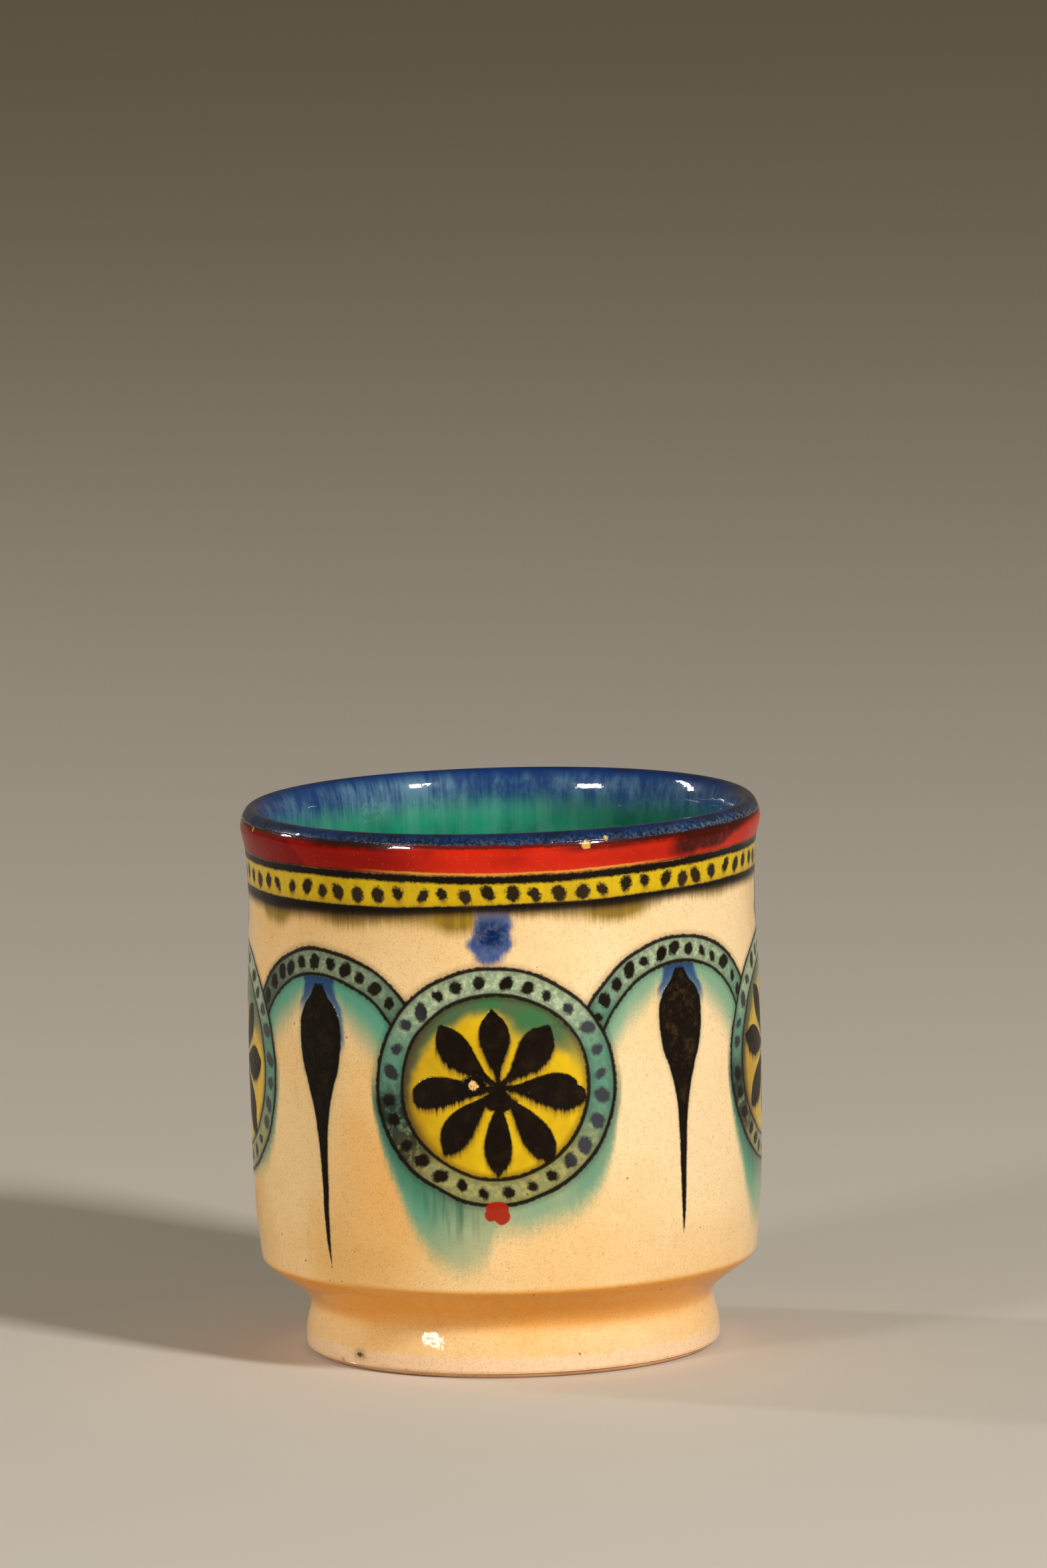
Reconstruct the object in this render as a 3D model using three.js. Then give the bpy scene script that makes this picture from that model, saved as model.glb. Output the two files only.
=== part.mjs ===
// A handleless painted mug: a glazed beaker with a waist under its rim and a flared foot ring.
// Millimetres, +Z up, the origin at the centre of the face that the foot rests on.
// Azimuths are turned about +Z: 0 faces -Y, the photographed front, and 90 degrees faces +X.

import * as THREE from "three";
import { TessellateModifier } from "three/addons/modifiers/TessellateModifier.js";

// The glazed outline. Its radii stand in from the rim, and the waist is measured down from it.
const rimRadius = 43;
const rimHeight = 91.7;
const lipRounding = 2;
const waistInset = 1;
const waistDrop = 16.2;
const bellyInset = 0.4;
const bellyHeight = 46;
const lowerBellyInset = 0.7;
const lowerBellyHeight = 27;
const shoulderInset = 1.8;
const shoulderHeight = 15.4;
const neckInset = 9.6;
const neckHeight = 8;
const footInset = 8.55;
const footBandTop = 3.4;
const footEdgeRounding = 0.85;

// The hollow. The wall is measured through the clay and both of its glazes.
const wallThickness = 4.4;
const floorHeight = 13.5;
const floorDish = 0.8;
const floorCornerRadius = 9;

// The foot ring, which is luted round a low boss under the body.
const footRingWidth = 6.9;
const footRingLean = 0.8;
const bossHeight = 4.5;

// The coats of glaze, and the enamels painted over them.
const glazeThickness = 0.4;
const enamelThickness = 0.2;
const enamelClearance = 0.03;
const bandSeat = 0.05;
const bareFootHeight = 0.9;
const cobaltLipAngle = THREE.MathUtils.degToRad(14);
const cobaltDepthInside = 7.5;

// The red and yellow bands, measured down from the rim.
const redBandDrop = 2.1;
const redBandWidth = 4.9;
const yellowBandDrop = 7.7;
const yellowBandWidth = 4.6;

// The medallions fill the field between the yellow band and the shoulder, but for these margins.
const marginAboveShare = 0.147;
const marginBelowShare = 0.228;
const borderShare = 0.225;
const paintGap = 0.25;
const petalCount = 8;
const petalMargin = 1.2;
const petalWidthShare = 0.42;
const petalValleyRadius = 2.1;

// The arches stand out over the medallions beside them, and a drop hangs in each.
const archStep = 2;
const archBandWidth = 4.4;
const dropHalfWidth = 4.7;
const dropHang = 2.6;

// The soft spots of cobalt and red over and under each medallion.
const cobaltSpotWidth = 7.4;
const cobaltSpotHeightShare = 0.74;
const redSpotWidth = 4.2;
const redSpotHeight = 3.2;
const redSpotDrop = 2.2;

// How finely the round forms and the painted outlines are cut.
const turns = 40;
const longestPaintedEdge = 5.5;
const tessellationPasses = 12;
const borderSegments = 32;
const groundSegments = 24;
const groundRings = 3;
const petalSteps = 3;
const dropSteps = 4;
const archSteps = 5;

// The hand behind the brush: how far each quarter of the pattern strays from its even place.
const medallions = [
  { name: "front", azimuth: -2.5, spotShare: 1, rosetteTurn: 0.02 },
  { name: "right", azimuth: 88.5, spotShare: 0.92, rosetteTurn: -0.05 },
  { name: "back", azimuth: 179, spotShare: 1.06, rosetteTurn: 0.04 },
  { name: "left", azimuth: -90, spotShare: 0.96, rosetteTurn: -0.03 },
];
const arches = [
  { name: "front_right", azimuth: 43, archLift: 1.1, tipRise: 7.4 },
  { name: "back_right", azimuth: 134, archLift: 0.2, tipRise: 4.6 },
  { name: "back_left", azimuth: -135, archLift: 0.7, tipRise: 6.2 },
  { name: "front_left", azimuth: -45.5, archLift: 0, tipRise: 3.2 },
];

// A fired or painted surface.
function coat(color, roughness) {
  return new THREE.MeshStandardMaterial({ color, roughness, metalness: 0 });
}

const materials = {
  clay: coat(0xcfa27c, 0.85),
  cream: coat(0xe7c890, 0.12),
  turquoise: coat(0x2f9484, 0.12),
  cobalt: coat(0x27407f, 0.12),
  red: coat(0xa81f18, 0.2),
  yellow: coat(0xcfa516, 0.15),
  teal: coat(0x64a996, 0.15),
  black: coat(0x1b140f, 0.25),
};

const cup = new THREE.Group();

// Adds one named piece to the cup.
function addPiece(name, geometry, material) {
  const piece = new THREE.Mesh(geometry, material);
  piece.name = name;
  cup.add(piece);
}

// The radii and heights that follow from the rim.
const waistRadius = rimRadius - waistInset;
const waistHeight = rimHeight - waistDrop;
const bellyRadius = rimRadius - bellyInset;
const lowerBellyRadius = rimRadius - lowerBellyInset;
const shoulderRadius = rimRadius - shoulderInset;
const neckRadius = rimRadius - neckInset;
const footRadius = rimRadius - footInset;

// Points round the lip between two angles: 0 is its outer side, a quarter turn its top.
function lipArc(radius, fromAngle, toAngle, steps) {
  return Array.from({ length: steps + 1 }, (_, step) => {
    const angle = THREE.MathUtils.lerp(fromAngle, toAngle, step / steps);
    return new THREE.Vector2(
      rimRadius - lipRounding + radius * Math.cos(angle),
      rimHeight - lipRounding + radius * Math.sin(angle),
    );
  });
}

// The outline moved into the wall, square to itself.
function inset(points, distance) {
  return points.map((point, i) => {
    const before = points[Math.max(i - 1, 0)];
    const after = points[Math.min(i + 1, points.length - 1)];
    const along = after.clone().sub(before).normalize();
    return new THREE.Vector2(point.x - distance * along.y, point.y + distance * along.x);
  });
}

// The foot's glazed outline, from the bare edge up to the neck.
const footOutline = [
  new THREE.Vector2(footRadius, bareFootHeight),
  new THREE.Vector2(footRadius, footBandTop),
  new THREE.Vector2((footRadius + neckRadius) / 2, (footBandTop + neckHeight) / 2),
  new THREE.Vector2(neckRadius, neckHeight),
];

// The undercut that swings out from the neck to the shoulder.
const undercutSteps = 5;
const throatRiseShare = 0.47;
const shoulderTuckShare = 0.35;
const shoulderLeadShare = 0.15;
const throatRise = (shoulderHeight - neckHeight) * throatRiseShare;
const shoulderTuck = (shoulderHeight - neckHeight) * shoulderTuckShare;
const shoulderLead = (shoulderRadius - neckRadius) * shoulderLeadShare;
const undercut = new THREE.CubicBezierCurve(
  new THREE.Vector2(neckRadius, neckHeight),
  new THREE.Vector2(neckRadius, neckHeight + throatRise),
  new THREE.Vector2(shoulderRadius - shoulderLead, shoulderHeight - shoulderTuck),
  new THREE.Vector2(shoulderRadius, shoulderHeight),
);

// The wall from the shoulder to the foot of the lip.
const wallSteps = 8;
const wall = new THREE.SplineCurve([
  new THREE.Vector2(shoulderRadius, shoulderHeight),
  new THREE.Vector2(lowerBellyRadius, lowerBellyHeight),
  new THREE.Vector2(bellyRadius, bellyHeight),
  new THREE.Vector2(waistRadius, waistHeight),
  new THREE.Vector2(rimRadius, rimHeight - lipRounding),
]);

const glazedOutline = [
  ...footOutline,
  ...undercut.getPoints(undercutSteps).slice(1),
  ...wall.getPoints(wallSteps).slice(1),
  ...lipArc(lipRounding, 0, cobaltLipAngle, 1).slice(1),
];
const clayOutline = inset(glazedOutline, glazeThickness);
const clayLipRounding = lipRounding - glazeThickness;
clayOutline.splice(-2, 2, ...lipArc(clayLipRounding, 0, cobaltLipAngle, 1));

// The clay stays level with the glaze at the bare edge and along the joint at the neck.
const neckIndex = footOutline.length - 1;
clayOutline[0].set(footRadius - glazeThickness, bareFootHeight);
clayOutline[neckIndex].set(neckRadius - glazeThickness, neckHeight);

// The glazed wall's radius at a height, along its straight facets.
function wallRadius(height) {
  const station = glazedOutline.findIndex((point) => point.y > height);
  if (station < 1) return glazedOutline.at(station < 0 ? -1 : 0).x;
  const below = glazedOutline[station - 1];
  const above = glazedOutline[station];
  const share = THREE.MathUtils.inverseLerp(below.y, above.y, height);
  return THREE.MathUtils.lerp(below.x, above.x, share);
}

// The inside of the hollow, from the lip down to the middle of the floor.
const lipSteps = 5;
const liningSteps = 3;
const cornerSteps = 3;
const lipInside = lipArc(lipRounding, cobaltLipAngle, Math.PI, lipSteps);
const clayLipInside = lipArc(clayLipRounding, cobaltLipAngle, Math.PI, lipSteps);
const cornerTop = floorHeight + floorCornerRadius;
const cobaltEnd = rimHeight - lipRounding - cobaltDepthInside;

// One stretch of the inner wall, at even heights.
const innerWall = Array.from({ length: liningSteps + 1 }, (_, step) => {
  const height = THREE.MathUtils.lerp(cobaltEnd, cornerTop, step / liningSteps);
  return new THREE.Vector2(wallRadius(height) - wallThickness, height);
});

// The rounded corner between the inner wall and the floor.
const cornerRadiusAcross = wallRadius(cornerTop) - wallThickness;
const floorCorner = Array.from({ length: cornerSteps }, (_, step) => {
  const angle = (Math.PI / 2) * ((step + 1) / cornerSteps);
  return new THREE.Vector2(
    cornerRadiusAcross - floorCornerRadius * (1 - Math.cos(angle)),
    cornerTop - floorCornerRadius * Math.sin(angle),
  );
});
const floorCentre = new THREE.Vector2(0, floorHeight - floorDish);
const liningOutline = [...innerWall, ...floorCorner, floorCentre];

// The clay under the lining, set back by the coat of glaze.
const clayLining = inset(liningOutline, glazeThickness);
clayLining[0].set(innerWall[0].x + glazeThickness, cobaltEnd);
clayLining.at(-1).set(0, floorCentre.y - glazeThickness);

// A piece that is round about the cup's axis, from its outline of radius and height.
function revolve(outline) {
  return new THREE.LatheGeometry(outline, turns).rotateX(Math.PI / 2);
}

// A closed outline, run once round.
function closed(outline) {
  return [...outline, outline[0].clone()];
}

// Clay body: the outside from the boss up, the lip, the inside down to the floor.
const bossRadius = footRadius - footRingWidth;
addPiece(
  "clay_body",
  revolve([
    new THREE.Vector2(0, bossHeight),
    new THREE.Vector2(bossRadius, bossHeight),
    new THREE.Vector2(bossRadius, neckHeight),
    ...clayOutline.slice(neckIndex),
    ...clayLipInside.slice(1),
    ...clayLining,
  ]),
  materials.clay,
);

// Foot ring: it carries the cup on its bare lower edge.
const ringInside = bossRadius + footRingLean;
addPiece(
  "foot_ring",
  revolve(
    closed([
      new THREE.Vector2(bossRadius, neckHeight),
      new THREE.Vector2(bossRadius, bossHeight),
      new THREE.Vector2(ringInside, footEdgeRounding),
      new THREE.Vector2(ringInside + footEdgeRounding, 0),
      new THREE.Vector2(footRadius - glazeThickness - footEdgeRounding, 0),
      ...clayOutline.slice(0, neckIndex + 1),
    ]),
  ),
  materials.clay,
);

// Cream glaze: it covers the outside from above the bare edge up to the lip.
addPiece(
  "cream_glaze",
  revolve(closed([...glazedOutline, ...clayOutline.toReversed()])),
  materials.cream,
);

// Cobalt glaze: it wraps the lip and runs a little way down the inside.
const cobaltOutline = [...lipInside, innerWall[0]];
const clayUnderCobalt = [...clayLipInside, clayLining[0]];
addPiece(
  "cobalt_lip",
  revolve(closed([...cobaltOutline, ...clayUnderCobalt.toReversed()])),
  materials.cobalt,
);

// Turquoise glaze: it lines the hollow below the cobalt.
addPiece(
  "turquoise_lining",
  revolve([...clayLining.toReversed(), ...liningOutline]),
  materials.turquoise,
);

// An enamel ring laid on the wall between two heights, bending at the glaze's own stations.
function enamelRing(bottom, top) {
  const stations = glazedOutline
    .map((point) => point.y)
    .filter((height) => height > bottom && height < top);
  const inner = [bottom, ...stations, top].map(
    (height) => new THREE.Vector2(wallRadius(height) + bandSeat, height),
  );
  const outer = inner.map((point) => new THREE.Vector2(point.x + enamelThickness, point.y));
  return revolve(closed([...outer, ...inner.toReversed()]));
}

const redBandTop = rimHeight - redBandDrop;
const yellowBandTop = rimHeight - yellowBandDrop;
addPiece("red_band", enamelRing(redBandTop - redBandWidth, redBandTop), materials.red);
addPiece(
  "yellow_band",
  enamelRing(yellowBandTop - yellowBandWidth, yellowBandTop),
  materials.yellow,
);

// The field that the medallions and arches fill, and the sizes that follow from it.
const fieldTop = yellowBandTop - yellowBandWidth;
const field = fieldTop - shoulderHeight;
const marginAbove = field * marginAboveShare;
const marginBelow = field * marginBelowShare;
const medallionRadius = (field - marginAbove - marginBelow) / 2;
const borderWidth = medallionRadius * borderShare;
const medallionHeight = fieldTop - marginAbove - medallionRadius;
const archRadius = medallionRadius + archStep;
const groundRadius = medallionRadius - borderWidth - paintGap;
const petalLength = groundRadius - petalMargin;
const petalWidth = petalLength * petalWidthShare;

// A flat painted facet cuts under the curved wall that it spans, so it is seated that much higher.
const fieldStations = glazedOutline.filter(({ y }) => y > shoulderHeight && y < fieldTop);
const wallBends = fieldStations.slice(1, -1).map((point, i) => {
  const from = point.clone().sub(fieldStations[i]);
  const to = fieldStations[i + 2].clone().sub(point);
  return (2 * Math.abs(from.cross(to))) / (from.length() * to.length() * from.add(to).length());
});
const facetSag = ((1 / waistRadius + Math.max(...wallBends)) * longestPaintedEdge ** 2) / 8;
const enamelSeat = enamelClearance + facetSag;

// Bends a flat slab round the wall. The slab's X runs to the right, its Y up and its Z outwards.
function laidOnWall(slab, azimuthDegrees, height, lift) {
  const position = slab.getAttribute("position");
  const azimuth = THREE.MathUtils.degToRad(azimuthDegrees);
  for (let i = 0; i < position.count; i += 1) {
    const turn = azimuth + position.getX(i) / bellyRadius;
    const level = height + position.getY(i);
    const radius = wallRadius(level) + lift + position.getZ(i);
    position.setXYZ(i, radius * Math.sin(turn), -radius * Math.cos(turn), level);
  }
  slab.computeVertexNormals();
  return slab;
}

// A round enamel, as a slab of rings that can bend: a disc, or a hoop if it has an inner radius.
function roundSlab(innerRadius, outerRadius, segments, rings) {
  const radii = Array.from({ length: rings + 1 }, (_, ring) =>
    THREE.MathUtils.lerp(innerRadius, outerRadius, ring / rings),
  );
  const back = radii.map((radius) => new THREE.Vector2(radius, 0));
  const front = radii.map((radius) => new THREE.Vector2(radius, enamelThickness));
  const outline = [...back, ...front.toReversed()];
  const slab = new THREE.LatheGeometry(innerRadius > 0 ? closed(outline) : outline, segments);
  return slab.rotateX(Math.PI / 2);
}

// An enamel of any outline, cut into facets small enough to bend.
function paintedSlab(shape, curveSegments) {
  const slab = new THREE.ExtrudeGeometry(shape, {
    depth: enamelThickness,
    bevelEnabled: false,
    curveSegments,
  });
  return new TessellateModifier(longestPaintedEdge, tessellationPasses).modify(slab);
}

// The point at a distance along a direction and across it, for petals.
function turned(along, across, angle) {
  return new THREE.Vector2(along, across).rotateAround(new THREE.Vector2(), angle);
}

// Eight pointed petals that meet at the middle.
const petalSwellShare = 0.6;
const petalTipSwellShare = 0.68;
const petalSwellPlaceShare = 0.55;
const petalTipPlaceShare = 0.9;
function rosetteShape(turn) {
  const shape = new THREE.Shape();
  const half = Math.PI / petalCount;
  const start = turned(petalValleyRadius, 0, turn - half);
  shape.moveTo(start.x, start.y);
  for (let petal = 0; petal < petalCount; petal += 1) {
    const angle = turn + 2 * half * petal;
    const swell = petalWidth * petalSwellShare;
    const tipSwell = petalWidth * petalTipSwellShare;
    const swellPlace = petalLength * petalSwellPlaceShare;
    const tipPlace = petalLength * petalTipPlaceShare;
    const out = [turned(swellPlace, -swell, angle), turned(tipPlace, -tipSwell, angle)];
    const tip = turned(petalLength, 0, angle);
    const back = [turned(tipPlace, tipSwell, angle), turned(swellPlace, swell, angle)];
    const valley = turned(petalValleyRadius, 0, angle + half);
    shape.bezierCurveTo(out[0].x, out[0].y, out[1].x, out[1].y, tip.x, tip.y);
    shape.bezierCurveTo(back[0].x, back[0].y, back[1].x, back[1].y, valley.x, valley.y);
  }
  return shape;
}

// A soft-edged spot that bulges a few times round its edge.
const spotBulgeShare = 0.06;
const pointsPerBulge = 4;
const cobaltBulges = 5;
const redBulges = 3;
function spotShape(width, height, bulges) {
  const edge = Array.from({ length: pointsPerBulge * bulges }, (_, i) => {
    const angle = (2 * Math.PI * i) / (pointsPerBulge * bulges);
    const swell = 1 + spotBulgeShare * Math.cos(bulges * angle);
    const across = (width / 2) * swell * Math.cos(angle);
    const up = (height / 2) * swell * Math.sin(angle);
    return new THREE.Vector2(across, up);
  });
  return new THREE.Shape(edge);
}

// A hanging drop: full near its top, then drawn out to a long point.
const dropFullPlaceShare = 0.2;
const dropShoulderShare = 0.1;
const dropNeckPlaceShare = 0.42;
const dropNeckWidthShare = 0.12;
function dropShape(length) {
  const full = -length * dropFullPlaceShare;
  const shoulder = -length * dropShoulderShare;
  const neck = -length * dropNeckPlaceShare;
  const neckHalf = dropHalfWidth * dropNeckWidthShare;
  const shape = new THREE.Shape();
  shape.moveTo(0, 0);
  shape.bezierCurveTo(-dropHalfWidth / 2, 0, -dropHalfWidth, shoulder, -dropHalfWidth, full);
  shape.bezierCurveTo(-dropHalfWidth, neck, -neckHalf, neck, 0, -length);
  shape.bezierCurveTo(neckHalf, neck, dropHalfWidth, neck, dropHalfWidth, full);
  shape.bezierCurveTo(dropHalfWidth, shoulder, dropHalfWidth / 2, 0, 0, 0);
  return shape;
}

// Where a circle round the origin meets a circle of another radius round a second centre.
function circleMeeting(radius, centre, otherRadius, side) {
  const apart = centre.length();
  const cosine = (radius ** 2 + apart ** 2 - otherRadius ** 2) / (2 * radius * apart);
  const angle = centre.angle() + side * Math.acos(THREE.MathUtils.clamp(cosine, -1, 1));
  return turned(radius, 0, angle);
}

// The point halfway between two points of a circle, on the circle.
function middleOfArc(from, to, centre, radius) {
  return from.clone().add(to).divideScalar(2).sub(centre).setLength(radius).add(centre);
}

// A bordered arch whose two feet follow the medallions beside it.
function archShape(toRight, toLeft) {
  const inner = archRadius - archBandWidth;
  const clear = medallionRadius + paintGap;
  const outerRight = circleMeeting(archRadius, toRight, clear, 1);
  const outerLeft = circleMeeting(archRadius, toLeft, clear, -1);
  const innerRight = circleMeeting(inner, toRight, clear, 1);
  const innerLeft = circleMeeting(inner, toLeft, clear, -1);
  const leftMiddle = middleOfArc(outerLeft, innerLeft, toLeft, clear);
  const rightMiddle = middleOfArc(outerRight, innerRight, toRight, clear);
  const shape = new THREE.Shape();
  shape.absarc(0, 0, archRadius, outerRight.angle(), outerLeft.angle(), false);
  shape.lineTo(leftMiddle.x, leftMiddle.y);
  shape.absarc(0, 0, inner, innerLeft.angle(), innerRight.angle(), true);
  shape.lineTo(rightMiddle.x, rightMiddle.y);
  return shape;
}

// The medallions: a teal border, a yellow ground, the rosette on it and a spot over and under it.
const onGround = enamelSeat + enamelThickness + enamelSeat;
const cobaltSpotHeight = marginAbove * cobaltSpotHeightShare;
const cobaltHeight = fieldTop - marginAbove / 2;
const redHeight = medallionHeight - medallionRadius - redSpotDrop;
for (const { name, azimuth, spotShare, rosetteTurn } of medallions) {
  const border = roundSlab(medallionRadius - borderWidth, medallionRadius, borderSegments, 1);
  const ground = roundSlab(0, groundRadius, groundSegments, groundRings);
  const rosette = paintedSlab(rosetteShape(Math.PI / 2 + rosetteTurn), petalSteps);
  const cobaltShape = spotShape(
    cobaltSpotWidth * spotShare,
    cobaltSpotHeight * spotShare,
    cobaltBulges,
  );
  const cobaltSpot = paintedSlab(cobaltShape, 1);
  const redShape = spotShape(redSpotWidth, redSpotHeight * spotShare, redBulges);
  const redSpot = paintedSlab(redShape, 1);
  const parts = [
    ["medallion_border", border, medallionHeight, enamelSeat, materials.teal],
    ["medallion_ground", ground, medallionHeight, enamelSeat, materials.yellow],
    ["rosette", rosette, medallionHeight, onGround, materials.black],
    ["cobalt_spot", cobaltSpot, cobaltHeight, enamelSeat, materials.cobalt],
    ["red_spot", redSpot, redHeight, enamelSeat, materials.red],
  ];
  for (const [part, slab, height, lift, material] of parts) {
    addPiece(`${name}_${part}`, laidOnWall(slab, azimuth, height, lift), material);
  }
}

// The place of a medallion's centre, seen from an arch's centre along the wall.
function medallionFrom(archAzimuth, medallion, archHeight) {
  const turn = THREE.MathUtils.euclideanModulo(medallion.azimuth - archAzimuth + 180, 360) - 180;
  const across = THREE.MathUtils.degToRad(turn) * bellyRadius;
  return new THREE.Vector2(across, medallionHeight - archHeight);
}

// The arches and the drops that hang in them.
for (const { name, azimuth, archLift, tipRise } of arches) {
  const height = medallionHeight + archLift;
  const centres = medallions.map((medallion) => medallionFrom(azimuth, medallion, height));
  const nearest = centres.sort((a, b) => a.length() - b.length()).slice(0, 2);
  const [toLeft, toRight] = nearest.sort((a, b) => a.x - b.x);
  const arch = paintedSlab(archShape(toRight, toLeft), archSteps);
  addPiece(`${name}_arch`, laidOnWall(arch, azimuth, height, enamelSeat), materials.teal);
  const dropTop = height + archRadius - archBandWidth - dropHang;
  const drop = paintedSlab(dropShape(dropTop - shoulderHeight - tipRise), dropSteps);
  addPiece(`${name}_drop`, laidOnWall(drop, azimuth, dropTop, enamelSeat), materials.black);
}

export default cup;
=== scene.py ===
import logging
import math
from collections.abc import Callable, Sequence
from dataclasses import dataclass, field
from enum import Enum
from functools import partial
from typing import ClassVar

import bpy
import numpy as np
from bpy.types import Material, Mesh, Node, NodeSocket, NodeTree, Object
from mathutils import Euler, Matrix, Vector


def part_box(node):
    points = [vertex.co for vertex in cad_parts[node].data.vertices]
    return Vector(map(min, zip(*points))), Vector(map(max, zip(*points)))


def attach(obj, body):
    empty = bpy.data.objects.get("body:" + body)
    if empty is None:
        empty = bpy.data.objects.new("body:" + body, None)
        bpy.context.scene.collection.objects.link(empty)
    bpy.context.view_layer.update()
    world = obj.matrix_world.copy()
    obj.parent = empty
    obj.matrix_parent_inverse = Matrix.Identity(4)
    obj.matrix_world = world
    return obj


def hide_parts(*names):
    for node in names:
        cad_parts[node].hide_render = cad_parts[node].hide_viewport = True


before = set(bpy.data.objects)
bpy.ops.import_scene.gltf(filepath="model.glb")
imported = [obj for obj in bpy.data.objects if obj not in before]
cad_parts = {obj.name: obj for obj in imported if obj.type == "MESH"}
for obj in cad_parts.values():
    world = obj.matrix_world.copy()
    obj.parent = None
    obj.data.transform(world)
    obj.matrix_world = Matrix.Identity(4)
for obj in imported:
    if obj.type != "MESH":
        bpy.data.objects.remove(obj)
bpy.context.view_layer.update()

log = logging.getLogger("painted_mug")

Point = tuple[float, float]
Colour = tuple[float, float, float, float]

MM = 0.001
DEGREE = math.radians(1)


class Noise(Enum):
    """Which value a noise texture gives."""

    GREY = "Fac"
    COLOUR = "Color"


class Seed(Enum):
    """What sets one use of a pattern of chance apart from the others."""

    OUTSIDE = 0.0
    BANDS = 3.0
    INSIDE = 5.0
    BAND_DOTS = 7.0
    ARCH_DOTS = 11.0
    RING_DOTS = 31.0


def paint(red: int, green: int, blue: int) -> Colour:
    """Turns a colour as the eye reads it, 0 to 255, into a shader's linear colour.

    Args:
        red: The red share, 0 to 255.
        green: The green share, 0 to 255.
        blue: The blue share, 0 to 255.

    Returns:
        The linear colour, with an alpha of 1.
    """
    shares = [value / 255 for value in (red, green, blue)]
    linear = [s / 12.92 if s <= 0.04045 else ((s + 0.055) / 1.055) ** 2.4 for s in shares]
    return (linear[0], linear[1], linear[2], 1.0)


def operator(operation: str, swapped: bool = False) -> Callable[..., "Field"]:
    """Makes an arithmetic method that adds one math node.

    Args:
        operation: The math node's operation.
        swapped: Whether the other value comes first.

    Returns:
        The method.
    """

    def write(this: "Field", *others: "Field | float") -> "Field":
        """Adds the node for this value and the other one, if there is one."""
        return this.sketch.math(operation, *((*others, this) if swapped else (this, *others)))

    return write


@dataclass(frozen=True)
class Field:
    """A value or colour that changes over the surface, as a node's output."""

    sketch: "Sketch"
    socket: NodeSocket

    __add__, __radd__ = operator("ADD"), operator("ADD", swapped=True)
    __sub__, __rsub__ = operator("SUBTRACT"), operator("SUBTRACT", swapped=True)
    __mul__, __rmul__ = operator("MULTIPLY"), operator("MULTIPLY", swapped=True)
    __truediv__ = operator("DIVIDE")
    __abs__ = operator("ABSOLUTE")

    def __neg__(self) -> "Field":
        """Turns the sign."""
        return self.sketch.math("MULTIPLY", self, -1.0)


Term = Field | float
Paint = Field | Colour
Fields = dict[str, Field]


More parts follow.
